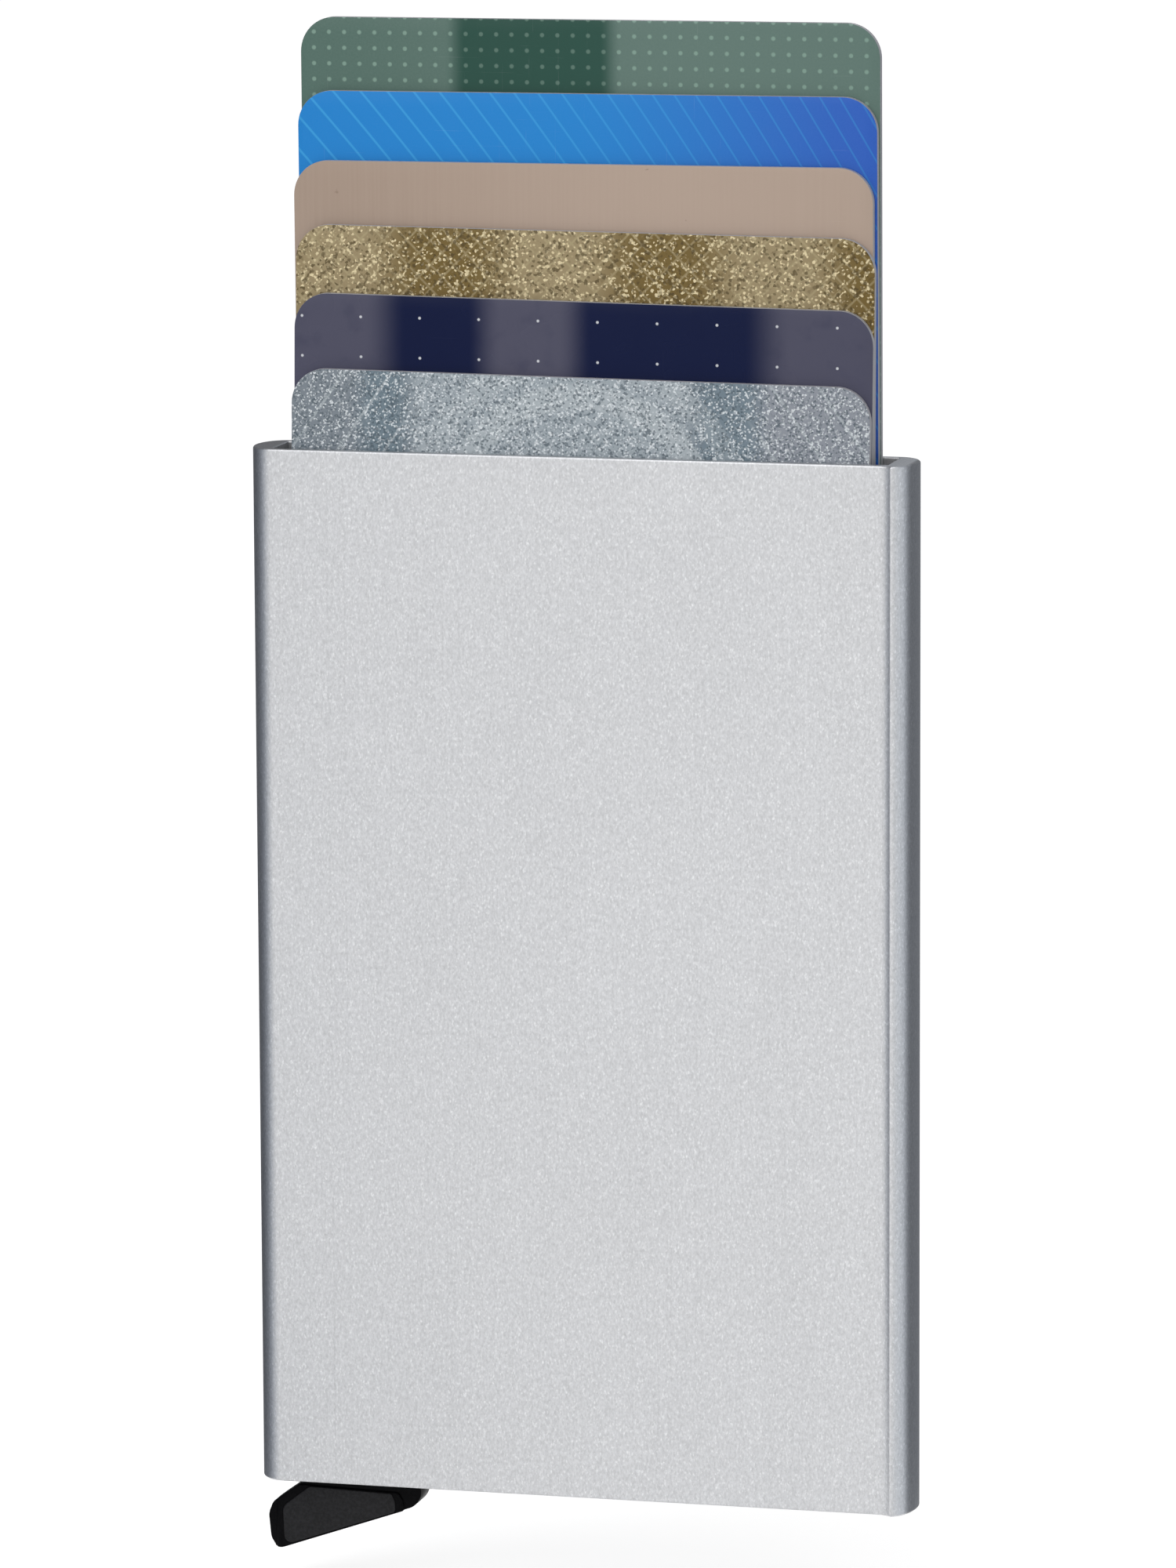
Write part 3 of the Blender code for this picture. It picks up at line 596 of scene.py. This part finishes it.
def makeGreyPrint(centre):
    look = {"outer": (0.215, 0.25, 0.285), "right": (0.29, 0.315, 0.36), "middle": (0.35, 0.4, 0.44),
            "teal": (0.15, 0.215, 0.26), "pale": (0.5, 0.55, 0.58), "flake": (0.8, 0.84, 0.87),
            "darkFlake": (0.07, 0.1, 0.125), "blend": (0.0, 20.0), "middleBand": (-2.6, 12.0, 2.5),
            "tealBands": ((-18.3, 0.8, 2.6), (13.8, 1.6, 2.8)),
            "slope": 0.72, "pitch": 4.4, "width": 0.22, "lineFade": (15.0, 18.0, 0.0, 0.6),
            "arcs": ((12.3, 1.3, 0.55), (15.6, 1.2, 0.28)), "arcCentre": -14.0, "arcEnd": (-14.5, -9.0)}
    material, tree, shader, places, across, up = startCardPrint("greyPrint", centre)
    side = calc(tree, "ABSOLUTE", across)
    colour = blendColours(tree, fade(tree, across, *look["blend"]), look["outer"], look["right"])
    colour = blendColours(tree, bands(tree, across, look["middleBand"]), colour, look["middle"])
    colour = tint(tree, colour, look["teal"], bands(tree, across, *look["tealBands"]), 0.8)
    # two wide pale arcs near the top, which fade out further down, and thin slanted lines beside them
    top = fade(tree, up, *look["arcEnd"])
    far = hypotenuse(tree, across, plus(tree, up, -look["arcCentre"]))
    for middle, half, strength in look["arcs"]:
        arc = bands(tree, far, (middle, half * 0.75, half * 0.25))
        colour = blendColours(tree, times(tree, arc, strength, top), colour, look["pale"])
    lines = times(tree, stripes(tree, side, up, look["slope"], look["pitch"], look["width"]),
                  fade(tree, side, *look["lineFade"]))
    colour = blendColours(tree, lines, colour, look["pale"])
    colour = tint(tree, colour, look["flake"], glitter(tree, places, 6.6, 0.68, 0.93), 0.85)
    colour = tint(tree, colour, look["darkFlake"], glitter(tree, places, 5.6, 0.66, 0.93), 0.75)
    addFilm(tree, shader, places, colour, roughness=0.3, marks=0.2)
    return material


# a plain back with a dark stripe along one long edge and a pale panel beside it
def makeCardBack(name, paper, centre):
    look = {"stripe": (0.02, 0.017, 0.016), "stripeAcross": (16.3, 5.15, 0.1), "panel": (0.66, 0.66, 0.64),
            "panelAcross": (4.0, 4.4, 0.1), "panelUp": (-38.0, 29.9, 0.1)}
    material, tree, shader, places, across, up = startCardPrint(name, centre)
    colour = tint(tree, paper, tuple(c * 0.6 + 0.2 for c in paper), noise(tree, places, 4.5, 2, 0.6), 0.3)
    colour = blendColours(tree, bands(tree, across, look["stripeAcross"]), colour, look["stripe"])
    panel = times(tree, bands(tree, across, look["panelAcross"]), bands(tree, up, look["panelUp"]))
    addFilm(tree, shader, places, blendColours(tree, panel, colour, look["panel"]), roughness=0.3)
    return material


def makeCase():
    shape = {"endReach": 2.4 * mm, "railReach": 1.8 * mm, "railProud": 0.5 * mm, "shoulder": 0.1 * mm,
             "filletSweep": math.radians(45), "filletSteps": 8, "panelWall": 0.9 * mm, "endWall": 2.35 * mm,
             "cavityCorner": 0.15 * mm, "rimRounding": 0.2 * mm, "slotRounding": 0.12 * mm, "roundSides": 96}
    height = rimZ - bottomZ
    rightX = caseHigh.x
    halfDepth = backY - middleY
    panelY = middleY - halfDepth
    endX, railX = leftX + shape["endReach"], rightX - shape["railReach"]
    endCentre, railCentre, slotCentre = ((x, middleY, bottomZ) for x in (endX, railX, 0))
    onlySelect()
    # the round left end: half of a squeezed circle
    bpy.ops.mesh.primitive_circle_add(vertices=shape["roundSides"], radius=1, location=endCentre)
    case = nameIt("aluminiumCase")
    applyPlace()
    editMode(case)
    selectAll()
    squeeze(shape["endReach"], halfDepth, endCentre)
    bpy.ops.mesh.bisect(plane_co=(endX, 0, 0), plane_no=(1, 0, 0), clear_outer=True)
    # the rail: half of another one, deeper in front, and behind like the left end
    selectNone()
    bpy.ops.mesh.primitive_circle_add(vertices=shape["roundSides"], radius=1, location=railCentre)
    bpy.ops.mesh.bisect(plane_co=(railX, 0, 0), plane_no=(1, 0, 0), clear_inner=True)
    pick(case, "VERT", lambda v: v.co.x > railX - hair and v.co.y < middleY - hair)
    squeeze(shape["railReach"], halfDepth + shape["railProud"], railCentre)
    pick(case, "VERT", lambda v: v.co.x > railX - hair and v.co.y > middleY - hair)
    squeeze(shape["endReach"], halfDepth, railCentre)
    slide(x=shape["railReach"] - shape["endReach"])
    # the back panel, then the front one, which ends in a hollow fillet up to the rail
    backEnds = (endX, rightX - shape["endReach"])
    pick(case, "VERT", lambda v: near(v.co.y, backY) and any(near(v.co.x, x) for x in backEnds))
    bpy.ops.mesh.edge_face_add()
    hollow = shape["railProud"] / (1 - math.cos(shape["filletSweep"]))
    foot = railX - hollow * math.sin(shape["filletSweep"])
    pick(case, "VERT", lambda v: near(v.co.x, endX) and near(v.co.y, panelY))
    pull(x=foot - endX)
    bpy.ops.mesh.spin(steps=shape["filletSteps"], angle=shape["filletSweep"], axis=(0, 0, 1),
                      center=(foot, panelY - hollow, bottomZ))
    selectAll()
    bpy.ops.mesh.remove_doubles(threshold=weld)
    pick(case, "VERT", lambda v: near(v.co.x, railX) and v.co.y < panelY)
    bpy.ops.mesh.bevel(offset=shape["shoulder"], segments=4, affect="VERTICES", clamp_overlap=False)
    selectAll()
    pull(z=height)
    # the slot for the cards
    selectNone()
    bpy.ops.mesh.primitive_plane_add(size=1, location=slotCentre)
    slotWidth = rightX - leftX - 2 * shape["endWall"]
    slotDepth = 2 * halfDepth - 2 * shape["panelWall"]
    squeeze(slotWidth, slotDepth, slotCentre)
    bpy.ops.mesh.bevel(offset=shape["cavityCorner"], segments=4, affect="VERTICES")
    bpy.ops.mesh.delete(type="ONLY_FACE")

    def inSlot(v):
        return abs(v.co.x) < slotWidth / 2 + loose and abs(v.co.y - middleY) < slotDepth / 2 + loose

    def atLevel(e, level):
        return all(near(v.co.z, level) for v in e.verts)

    pick(case, "EDGE", lambda e: atLevel(e, bottomZ) and all(inSlot(v) for v in e.verts))
    pull(z=height)
    for level in (bottomZ, rimZ):
        pick(case, "EDGE", lambda e: atLevel(e, level))
        bpy.ops.mesh.fill(use_beauty=True)
    faceOutwards()
    pick(case, "FACE", lambda f: abs(f.normal.z) > 0.99)
    bpy.ops.mesh.dissolve_limited(angle_limit=0.01)
    # both rims are rounded, a little less at the slot
    for reach, atSlot in ((shape["rimRounding"], False), (shape["slotRounding"], True)):
        pick(case, "EDGE", lambda e: (atLevel(e, bottomZ) or atLevel(e, rimZ))
             and all(inSlot(v) == atSlot for v in e.verts))
        bpy.ops.mesh.bevel(offset=reach, segments=4, affect="EDGES", clamp_overlap=False)
    objectMode()
    even = case.modifiers.new("even", "WEIGHTED_NORMAL")
    even.keep_sharp = True
    smooth(case)
    applyModifiers(case)
    settle(case, "case", "shell_aluminium", aluminium)
    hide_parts("shell")
    print("case:", len(case.data.polygons), "faces")


# rises are the heights over the rim, shifts go sideways, and leans are in degrees, from the front card back
def makeCards():
    shape = {"width": 53.98 * mm, "length": 85.6 * mm, "thickness": 0.76 * mm, "corner": 3.18 * mm,
             "edge": 0.05 * mm, "pitch": 0.84 * mm, "rises": (7.1, 13.9, 20.2, 26.2, 32.5, 39.1),
             "shifts": (0.15, 0.25, 0.2, -0.2, 0.0, 0.1), "leans": (0.6, 0.65, 0.35, -0.25, -0.25, -0.15)}
    kinds = (("grey", makeGreyPrint, (0.3, 0.33, 0.34)), ("navy", makeNavyPrint, (0.03, 0.035, 0.09)),
             ("gold", makeGoldPrint, (0.33, 0.27, 0.14)), ("tan", makeTanPrint, (0.45, 0.36, 0.28)),
             ("blue", makeBluePrint, (0.05, 0.16, 0.48)), ("green", makeGreenPrint, (0.09, 0.22, 0.14)))
    half, foot, corner = shape["width"] / 2, -shape["length"], shape["corner"]
    front = middleY - (len(kinds) * shape["pitch"] - (shape["pitch"] - shape["thickness"])) / 2
    corners = [(half, foot, corner), (half, 0, corner), (-half, 0, corner), (-half, foot, corner)]
    onlySelect()
    blank = addPlate("cardBlank", corners, 0, shape["thickness"], steps=14)
    editMode(blank)
    pick(blank, "FACE", lambda f: abs(f.normal.y) > 0.9)
    bpy.ops.mesh.region_to_loop()
    bpy.ops.mesh.bevel(offset=shape["edge"], segments=2, affect="EDGES")
    faceOutwards()
    smooth(blank, 50)
    core = makeCardCore()
    for i, (word, makePrint, paper) in enumerate(kinds):
        node = "card_%d" % (i + 1)
        onlySelect(blank)
        bpy.ops.object.duplicate()
        card = nameIt(word + "Card")
        top = Vector((shape["shifts"][i] * mm, front + i * shape["pitch"], rimZ + shape["rises"][i] * mm))
        card.matrix_world = Matrix.Translation(top) @ Matrix.Rotation(math.radians(shape["leans"][i]), 4, "Y")
        settle(card, node, "card_" + word, core, makePrint(top), makeCardBack(word + "Back", paper, top))
        editMode(card)
        paint(card, 1, lambda f: f.normal.y < -0.9)
        paint(card, 2, lambda f: f.normal.y > 0.9)
        objectMode()
        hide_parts(node)
    bpy.data.objects.remove(blank)
    print("six cards made")


# corners of the lever's lower part are measured in millimetres from the case's lower left corner
def tabPoint(x, z, rounding=0.0):
    return (leftX + x * mm, bottomZ + z * mm, rounding * mm)


def addDrum(name, radius, front, back):
    bpy.ops.mesh.primitive_cylinder_add(vertices=96, radius=radius, depth=back - front,
                                        rotation=(math.pi / 2, 0, 0),
                                        location=(pivot.x, (front + back) / 2, pivot.z))
    drum = nameIt(name)
    applyPlace()
    return drum


def combine(piece, tool, operation):
    change = piece.modifiers.new("change", "BOOLEAN")
    change.operation, change.solver, change.object = operation, "MANIFOLD", tool
    applyModifiers(piece)
    bpy.data.objects.remove(tool)


# corners seen from the pivot (u, v), turned about it
def pivotCorners(points, degrees=0.0):
    turn = Matrix.Rotation(math.radians(degrees), 2)
    return [(pivot.x + (turn @ Vector(p)).x, pivot.z + (turn @ Vector(p)).y, 0) for p in points]


# a piece of a ring round the pivot, its angles in degrees
def sector(inner, outer, start, end, steps=8):
    angles = [math.radians(start + (end - start) * i / steps) for i in range(steps + 1)]
    runs = ((outer, angles), (inner, angles[::-1]))
    return [(r * math.cos(a), r * math.sin(a)) for r, run in runs for a in run]


# the pad's nose slopes off on both sides, along a quarter of an ellipse
def slopeNose(pad, padHalf, start, long, deep, cuts):
    for side in (-1, 1):
        for degrees in cuts:
            lean = math.radians(degrees)
            at = Vector((leftX + start - long * math.sin(lean),
                         middleY + side * (padHalf - deep * (1 - math.cos(lean))), 0))
            editMode(pad)
            selectAll()
            bpy.ops.mesh.bisect(plane_co=at, use_fill=True, clear_outer=True,
                                plane_no=(-math.sin(lean) / long, side * math.cos(lean) / deep, 0))
            faceOutwards()
            objectMode()


def makeLever():
    shape = {"halfDepth": 1.85 * mm, "bladeHalf": 1.55 * mm, "padHalf": 1.72 * mm, "neckHalf": 1.75 * mm,
             "plateHalf": 1.2 * mm, "edge": 0.06 * mm, "flank": 0.42 * mm, "hub": 4.0 * mm, "bore": 1.1 * mm,
             "sleeve": 1.75 * mm, "pocket": 3.35 * mm, "pocketFloor": 1.02 * mm, "overlap": 0.2 * mm,
             "window": (2.5 * mm, 5 * mm, 96.6, 194.6), "grooveFloor": 0.85 * mm,
             "groove": (2.55 * mm, 7.75 * mm, -0.48 * mm, 0.42 * mm), "restAngle": 3.0, "neck": 2.3 * mm,
             "nose": (1.95 * mm, 1.55 * mm, 1.0 * mm), "noseCuts": (14, 32, 50, 68, 84), "padFace": 0.04 * mm,
             "blade": ((0.6, -3.0, 1.7), (1.0, -7.05, 1.15), (15.4, -2.0, 1.6), (15.4, 4.3), (9.5, 4.3),
                       (3.95, -0.5)),
             "pad": ((3.7, -0.62, 0.5), (0.4, -3.0, 1.7), (0.82, -7.25, 1.15), (14.0, -2.6, 0.5),
                     (13.3, -0.92, 0.5)),
             "plateau": ((4.7, -0.78, 0.5), (2.1, -2.85, 0.9), (2.25, -6.5, 0.7), (13.0, -2.75, 0.4),
                         (12.95, -1.75, 1.2), (12.6, -1.05, 0.25)),
             "lip": ((13.05, -1.1, 0.1), (13.4, -1.75, 0.3), (13.4, -2.45, 0.1), (13.7, -2.35, 0.1),
                     (13.7, -1.7, 0.4), (13.3, -1.06, 0.1))}
    front, back = middleY - shape["halfDepth"], middleY + shape["halfDepth"]
    beyond = 1 * mm
    onlySelect()
    lever = addDrum("leverTab", shape["hub"], front, back)
    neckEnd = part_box("lever")[1].x - pivot.x
    low, high = -shape["neck"], shape["neck"]
    neck = pivotCorners([(0, low), (neckEnd, low), (neckEnd, high), (0, high)], shape["restAngle"])
    blade = [tabPoint(*c) for c in shape["blade"]]
    for word, corners, half in (("neck", neck, shape["neckHalf"]), ("blade", blade, shape["bladeHalf"])):
        combine(lever, addPlate(word, corners, middleY - half, middleY + half), "UNION")
    # the spring's room: a round pocket, the window its fixed leg swings in and the groove of the other leg
    floor = middleY - shape["pocketFloor"]
    combine(lever, addDrum("pocket", shape["pocket"], floor, back + beyond), "DIFFERENCE")
    window = pivotCorners(sector(*shape["window"]))
    inner, outer, low, high = shape["groove"]
    groove = pivotCorners([(inner, low), (outer, low), (outer, high), (inner, high)])
    grooveFloor = middleY + shape["grooveFloor"]
    for word, corners, start in (("window", window, floor), ("groove", groove, grooveFloor)):
        combine(lever, addPlate(word, corners, start, back + beyond), "DIFFERENCE")
    combine(lever, addDrum("sleeve", shape["sleeve"], floor - shape["overlap"], back), "UNION")
    combine(lever, addDrum("bore", shape["bore"], front - beyond, back + beyond), "DIFFERENCE")
    roundEdges(lever, shape["edge"], 2, 40)
    # the pad's body, sloped off at the nose and rounded all round
    pad = addPlate("padBody", [tabPoint(*c) for c in shape["pad"]], middleY - shape["padHalf"],
                   middleY + shape["padHalf"])
    slopeNose(pad, shape["padHalf"], *shape["nose"], shape["noseCuts"])
    roundEdges(pad, shape["flank"], 6, 25)
    pieces = [lever, pad]
    # the raised grip face and the thin lip beyond it, on both sides
    for side, way in ((-1, "Front"), (1, "Back")):
        for word, drop, edge in (("plateau", 0.0, 0.1), ("lip", 0.06, 0.05)):
            top = middleY + side * (shape["halfDepth"] - drop * mm)
            corners = [tabPoint(*c) for c in shape[word]]
            plate = addPlate(word + way, corners, top, middleY + side * shape["plateHalf"])
            roundEdges(plate, edge * mm, 3, 60)
            pieces.append(plate)
    onlySelect(*pieces)
    bpy.ops.object.join()
    smooth(lever)
    settle(lever, "lever", "lever_plastic", leverPlastic, padPlastic)
    editMode(lever)
    faceDepth = shape["halfDepth"] - shape["padFace"]
    paint(lever, 1, lambda f: abs(middleOf(f).y - middleY) > faceDepth and middleOf(f).z < bottomZ)
    objectMode()
    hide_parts("lever")
    print("lever made:", len(lever.data.polygons), "faces", [round(v / mm, 2) for v in lever.dimensions])


def makeSpring():
    shape = {"wire": 0.4 * mm, "coil": 2.55 * mm, "pitch": 0.82 * mm, "fixedAngle": 225, "sweep": 845,
             "bend": 0.5 * mm, "leg": 4.5 * mm, "recess": 0.35 * mm, "leverHalf": 1.85 * mm,
             "footWall": 1.4 * mm, "anchorDepth": 0.5 * mm, "sides": 14, "steps": 168, "bendSteps": 8}
    rise = shape["pitch"] * shape["sweep"] / 360
    coilFront = middleY + shape["leverHalf"] - shape["recess"] - shape["wire"] / 2 - rise
    start = math.radians(shape["fixedAngle"])
    last = math.radians(shape["fixedAngle"] + shape["sweep"])
    onlySelect()
    # the wire's section stands on the coil's line, facing along it
    at = pivot + Vector((shape["coil"] * math.cos(start), 0, shape["coil"] * math.sin(start)))
    at.y = coilFront
    bpy.ops.mesh.primitive_circle_add(vertices=shape["sides"], radius=shape["wire"] / 2, fill_type="NOTHING")
    spring = nameIt("torsionSpring")
    along = Vector((-math.sin(start), 0, math.cos(start)))
    spring.matrix_world = Matrix.Translation(at) @ along.to_track_quat("Z", "Y").to_matrix().to_4x4()
    applyPlace()
    bpy.context.scene.cursor.location = (pivot.x, coilFront, pivot.z)
    bpy.ops.object.origin_set(type="ORIGIN_CURSOR")
    coil = spring.modifiers.new("coil", "SCREW")
    coil.axis, coil.angle, coil.screw_offset = "Y", -math.radians(shape["sweep"]), rise
    coil.steps = coil.render_steps = shape["steps"]
    coil.use_merge_vertices = False
    applyModifiers(spring)
    onlySelect(spring)
    applyPlace()
    editMode(spring)
    faceOutwards()

    def pickOpenEnd(end):
        pick(spring, "EDGE", lambda e: len(e.link_faces) == 1 and (middleOf(e) - end).length < shape["wire"])

    # the fixed leg runs straight on into the slot in the foot
    pickOpenEnd(at)
    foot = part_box("inner_frame")[0].x + shape["footWall"] - shape["anchorDepth"]
    back = -along
    reach = (foot - at.x) / back.x
    pull(back.x * reach, 0, back.z * reach)
    bpy.ops.mesh.edge_face_add()
    # the moving leg turns out of the coil and lies along the arm
    outward = Vector((math.cos(last), 0, math.sin(last)))
    coilEnd = Vector((pivot.x, coilFront + rise, pivot.z))
    pickOpenEnd(coilEnd + outward * shape["coil"])
    # a quarter turn on from its last spoke, the coil's end points this far away from the arm
    bendAngle = math.radians((shape["fixedAngle"] + shape["sweep"] + 90) % 360)
    bpy.ops.mesh.spin(steps=shape["bendSteps"], angle=bendAngle, axis=(0, 1, 0),
                      center=coilEnd + outward * (shape["coil"] + shape["bend"]))
    pull(x=shape["leg"])
    bpy.ops.mesh.edge_face_add()
    faceOutwards()
    objectMode()
    smooth(spring, 50)
    settle(spring, "case", "spring_steel", springSteel)
    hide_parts("return_spring")
    print("spring made:", [round(v / mm, 2) for v in spring.dimensions])


def makeFelts():
    shape = {"nap": 0.05 * mm, "cuts": 40, "fibre": 0.35 * mm}
    for word in ("left", "right"):
        low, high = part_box("friction_strip_" + word)
        size, centre = high - low, (low + high) / 2
        onlySelect()
        bpy.ops.mesh.primitive_plane_add(size=1, location=centre, rotation=(0, math.pi / 2, 0))
        strip = nameIt("feltStrip" + word.capitalize())
        strip.scale = (size.z, size.y, 1)
        applyPlace()
        editMode(strip)
        selectAll()
        slide(x=-size.x / 2 + shape["nap"] / 2)
        bpy.ops.mesh.subdivide(number_cuts=shape["cuts"])
        pull(x=size.x - shape["nap"])
        faceOutwards()
        objectMode()
        cloud = bpy.data.textures.new("nap" + word, "CLOUDS")
        cloud.noise_scale = shape["fibre"]
        nap = strip.modifiers.new("nap", "DISPLACE")
        nap.texture, nap.strength, nap.mid_level, nap.texture_coords = cloud, shape["nap"], 0.5, "LOCAL"
        applyModifiers(strip)
        smooth(strip, 60)
        settle(strip, "case", "felt", felt)
        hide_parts("friction_strip_" + word)
    print("felt strips made")


makeCase()
makeCards()
makeLever()
makeSpring()
makeFelts()

# pieces whose solids are right as they are keep them, with a full finish
plainParts = {"inner_frame": framePlastic, "lever_arm": leverPlastic, "pivot_pin": pinSteel}
for nodeName, material in plainParts.items():
    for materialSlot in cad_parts[nodeName].material_slots:
        materialSlot.material = material


# 1 for rays from the camera, mirrored or through glass, and 0 for the soft light that the part gets
def directRays(tree):
    rays = addNode(tree, "ShaderNodeLightPath").outputs
    seen = calc(tree, "ADD", rays["Is Camera Ray"], rays["Is Glossy Ray"], clamp=True)
    return calc(tree, "ADD", seen, rays["Is Transmission Ray"], clamp=True)


# azimuth 0 is in front and 90 to the right
def towards(azimuth, elevation):
    a, e = math.radians(azimuth), math.radians(elevation)
    return Vector((math.sin(a) * math.cos(e), -math.cos(a) * math.cos(e), math.sin(e)))


def makeFloor():
    look = {"size": 60, "gap": 3.0 * mm, "white": (0.8, 0.8, 0.8, 1), "glow": 0.53}
    onlySelect()
    bpy.ops.mesh.primitive_plane_add(size=look["size"], location=(0, 0, cadBox[0].z - look["gap"]))
    floor = nameIt("floor")
    material, tree, shader = newMaterial("floorWhite")
    giveAll(tree, shader, {"Base Color": look["white"], "Roughness": 0.9, "Specular IOR Level": 0.0,
                           "Emission Strength": times(tree, directRays(tree), look["glow"]),
                           "Emission Color": (1, 1, 1, 1)})
    floor.data.materials.append(material)


def makeWorld():
    softLight = 0.6
    world = bpy.data.worlds.new("studio")
    bpy.context.scene.world = world
    world.use_nodes = True
    tree = world.node_tree
    giveAll(tree, tree.nodes["Background"], {
        "Color": (1, 1, 1, 1), "Strength": calc(tree, "MAXIMUM", directRays(tree), softLight)})


# soft boxes: azimuth, elevation, distance, size and watts
def makeLamps():
    boxes = {"frontBox": (-25, 40, 0.9, 0.8, 2.2), "topBox": (10, 80, 0.9, 0.7, 1.2)}
    for name, (azimuth, elevation, distance, size, watts) in boxes.items():
        away = towards(azimuth, elevation)
        bpy.ops.object.light_add(type="AREA", location=away * distance)
        lamp = bpy.context.object
        lamp.name = name
        lamp.rotation_euler = away.to_track_quat("Z", "Y").to_euler()
        lamp.data.shape, lamp.data.size, lamp.data.size_y = "RECTANGLE", size, size
        lamp.data.energy = watts


# a screen round the part, which only glossy rays see, draws the metal's edges: pale on the right, grey
# behind and darkest on the left; its apron on the floor does the same for the lower end; tones by azimuth
def makeScreen():
    screen = {"radius": 120 * mm, "height": 300 * mm, "foot": -2.5 * mm, "apron": 0.4, "from": 36, "to": 322,
              "tones": ((35, (1, 1, 1)), (70, (0.93, 0.965, 1.0)), (95, (0.9, 0.94, 1.0)),
                        (105, (0.42, 0.45, 0.5)), (150, (0.4, 0.42, 0.46)), (180, (0.36, 0.38, 0.41)),
                        (205, (0.1, 0.1, 0.11)), (250, (0.07, 0.075, 0.085)), (270, (0.13, 0.145, 0.175)),
                        (287, (0.27, 0.3, 0.35)), (302, (0.72, 0.76, 0.82)), (320, (1, 1, 1)))}
    foot = cadBox[0].z + screen["foot"]
    onlySelect()
    bpy.ops.mesh.primitive_circle_add(vertices=144, radius=screen["radius"], location=(0, 0, foot))
    wall = nameIt("greyScreen")
    applyPlace()
    editMode(wall)

    def inFront(v):
        azimuth = math.degrees(math.atan2(v.co.x, -v.co.y)) % 360
        return not screen["from"] <= azimuth <= screen["to"]

    pick(wall, "VERT", inFront)
    bpy.ops.mesh.delete(type="VERT")
    selectAll()
    pull(z=screen["height"])
    pick(wall, "EDGE", lambda e: all(near(v.co.z, foot) for v in e.verts))
    pull()
    squeeze(screen["apron"], screen["apron"], (0, 0, foot))
    objectMode()
    material, tree, shader = newMaterial("screenGrey")
    parts = apart(tree, addNode(tree, "ShaderNodeTexCoord").outputs["Object"])
    # the direction as a share of a full turn, from the front over the right
    around = calc(tree, "ARCTAN2", times(tree, parts[0], -1.0), parts[1])
    around = plus(tree, calc(tree, "DIVIDE", around, 2 * math.pi), 0.5)
    ramp = addNode(tree, "ShaderNodeValToRGB", inputs={"Fac": around})
    stops = ramp.color_ramp.elements
    while len(stops) < len(screen["tones"]):
        stops.new(0.5)
    for stop, (degrees, tone) in zip(stops, screen["tones"]):
        stop.position, stop.color = degrees / 360, (*tone, 1)
    giveAll(tree, shader, {"Base Color": (0, 0, 0, 1), "Specular IOR Level": 0.0,
                           "Emission Color": ramp.outputs["Color"], "Emission Strength": 1.0})
    wall.data.materials.append(material)
    wall.visible_camera = wall.visible_diffuse = wall.visible_shadow = wall.visible_transmission = False


# the camera that the photo's edges gave, and its lens
def makeCamera():
    view = {"azimuth": 14.45, "elevation": 9.317, "roll": -0.273, "distance": 814.15 * mm, "lens": 204.13,
            "sensor": 36, "shiftRight": 0.202 * mm, "shiftUp": 17.577 * mm, "clip": (0.05, 100)}
    back = towards(view["azimuth"], view["elevation"])
    a, r = math.radians(view["azimuth"]), math.radians(view["roll"])
    right = Vector((math.cos(a), math.sin(a), 0))
    up = back.cross(right)
    rolledRight = math.cos(r) * right + math.sin(r) * up
    rolledUp = -math.sin(r) * right + math.cos(r) * up
    place = back * view["distance"] + right * view["shiftRight"] + up * view["shiftUp"]
    place += Vector((0, middleY, 0))
    bpy.ops.object.camera_add(location=place)
    camera = bpy.context.object
    axes = Matrix((rolledRight, rolledUp, back)).transposed().to_4x4()
    camera.matrix_world = Matrix.Translation(place) @ axes
    camera.data.lens, camera.data.sensor_width = view["lens"], view["sensor"]
    camera.data.clip_start, camera.data.clip_end = view["clip"]
    bpy.context.scene.camera = camera


makeFloor()
makeWorld()
makeLamps()
makeScreen()
makeCamera()
bpy.context.scene.view_settings.view_transform = "Standard"
print("studio and camera set")
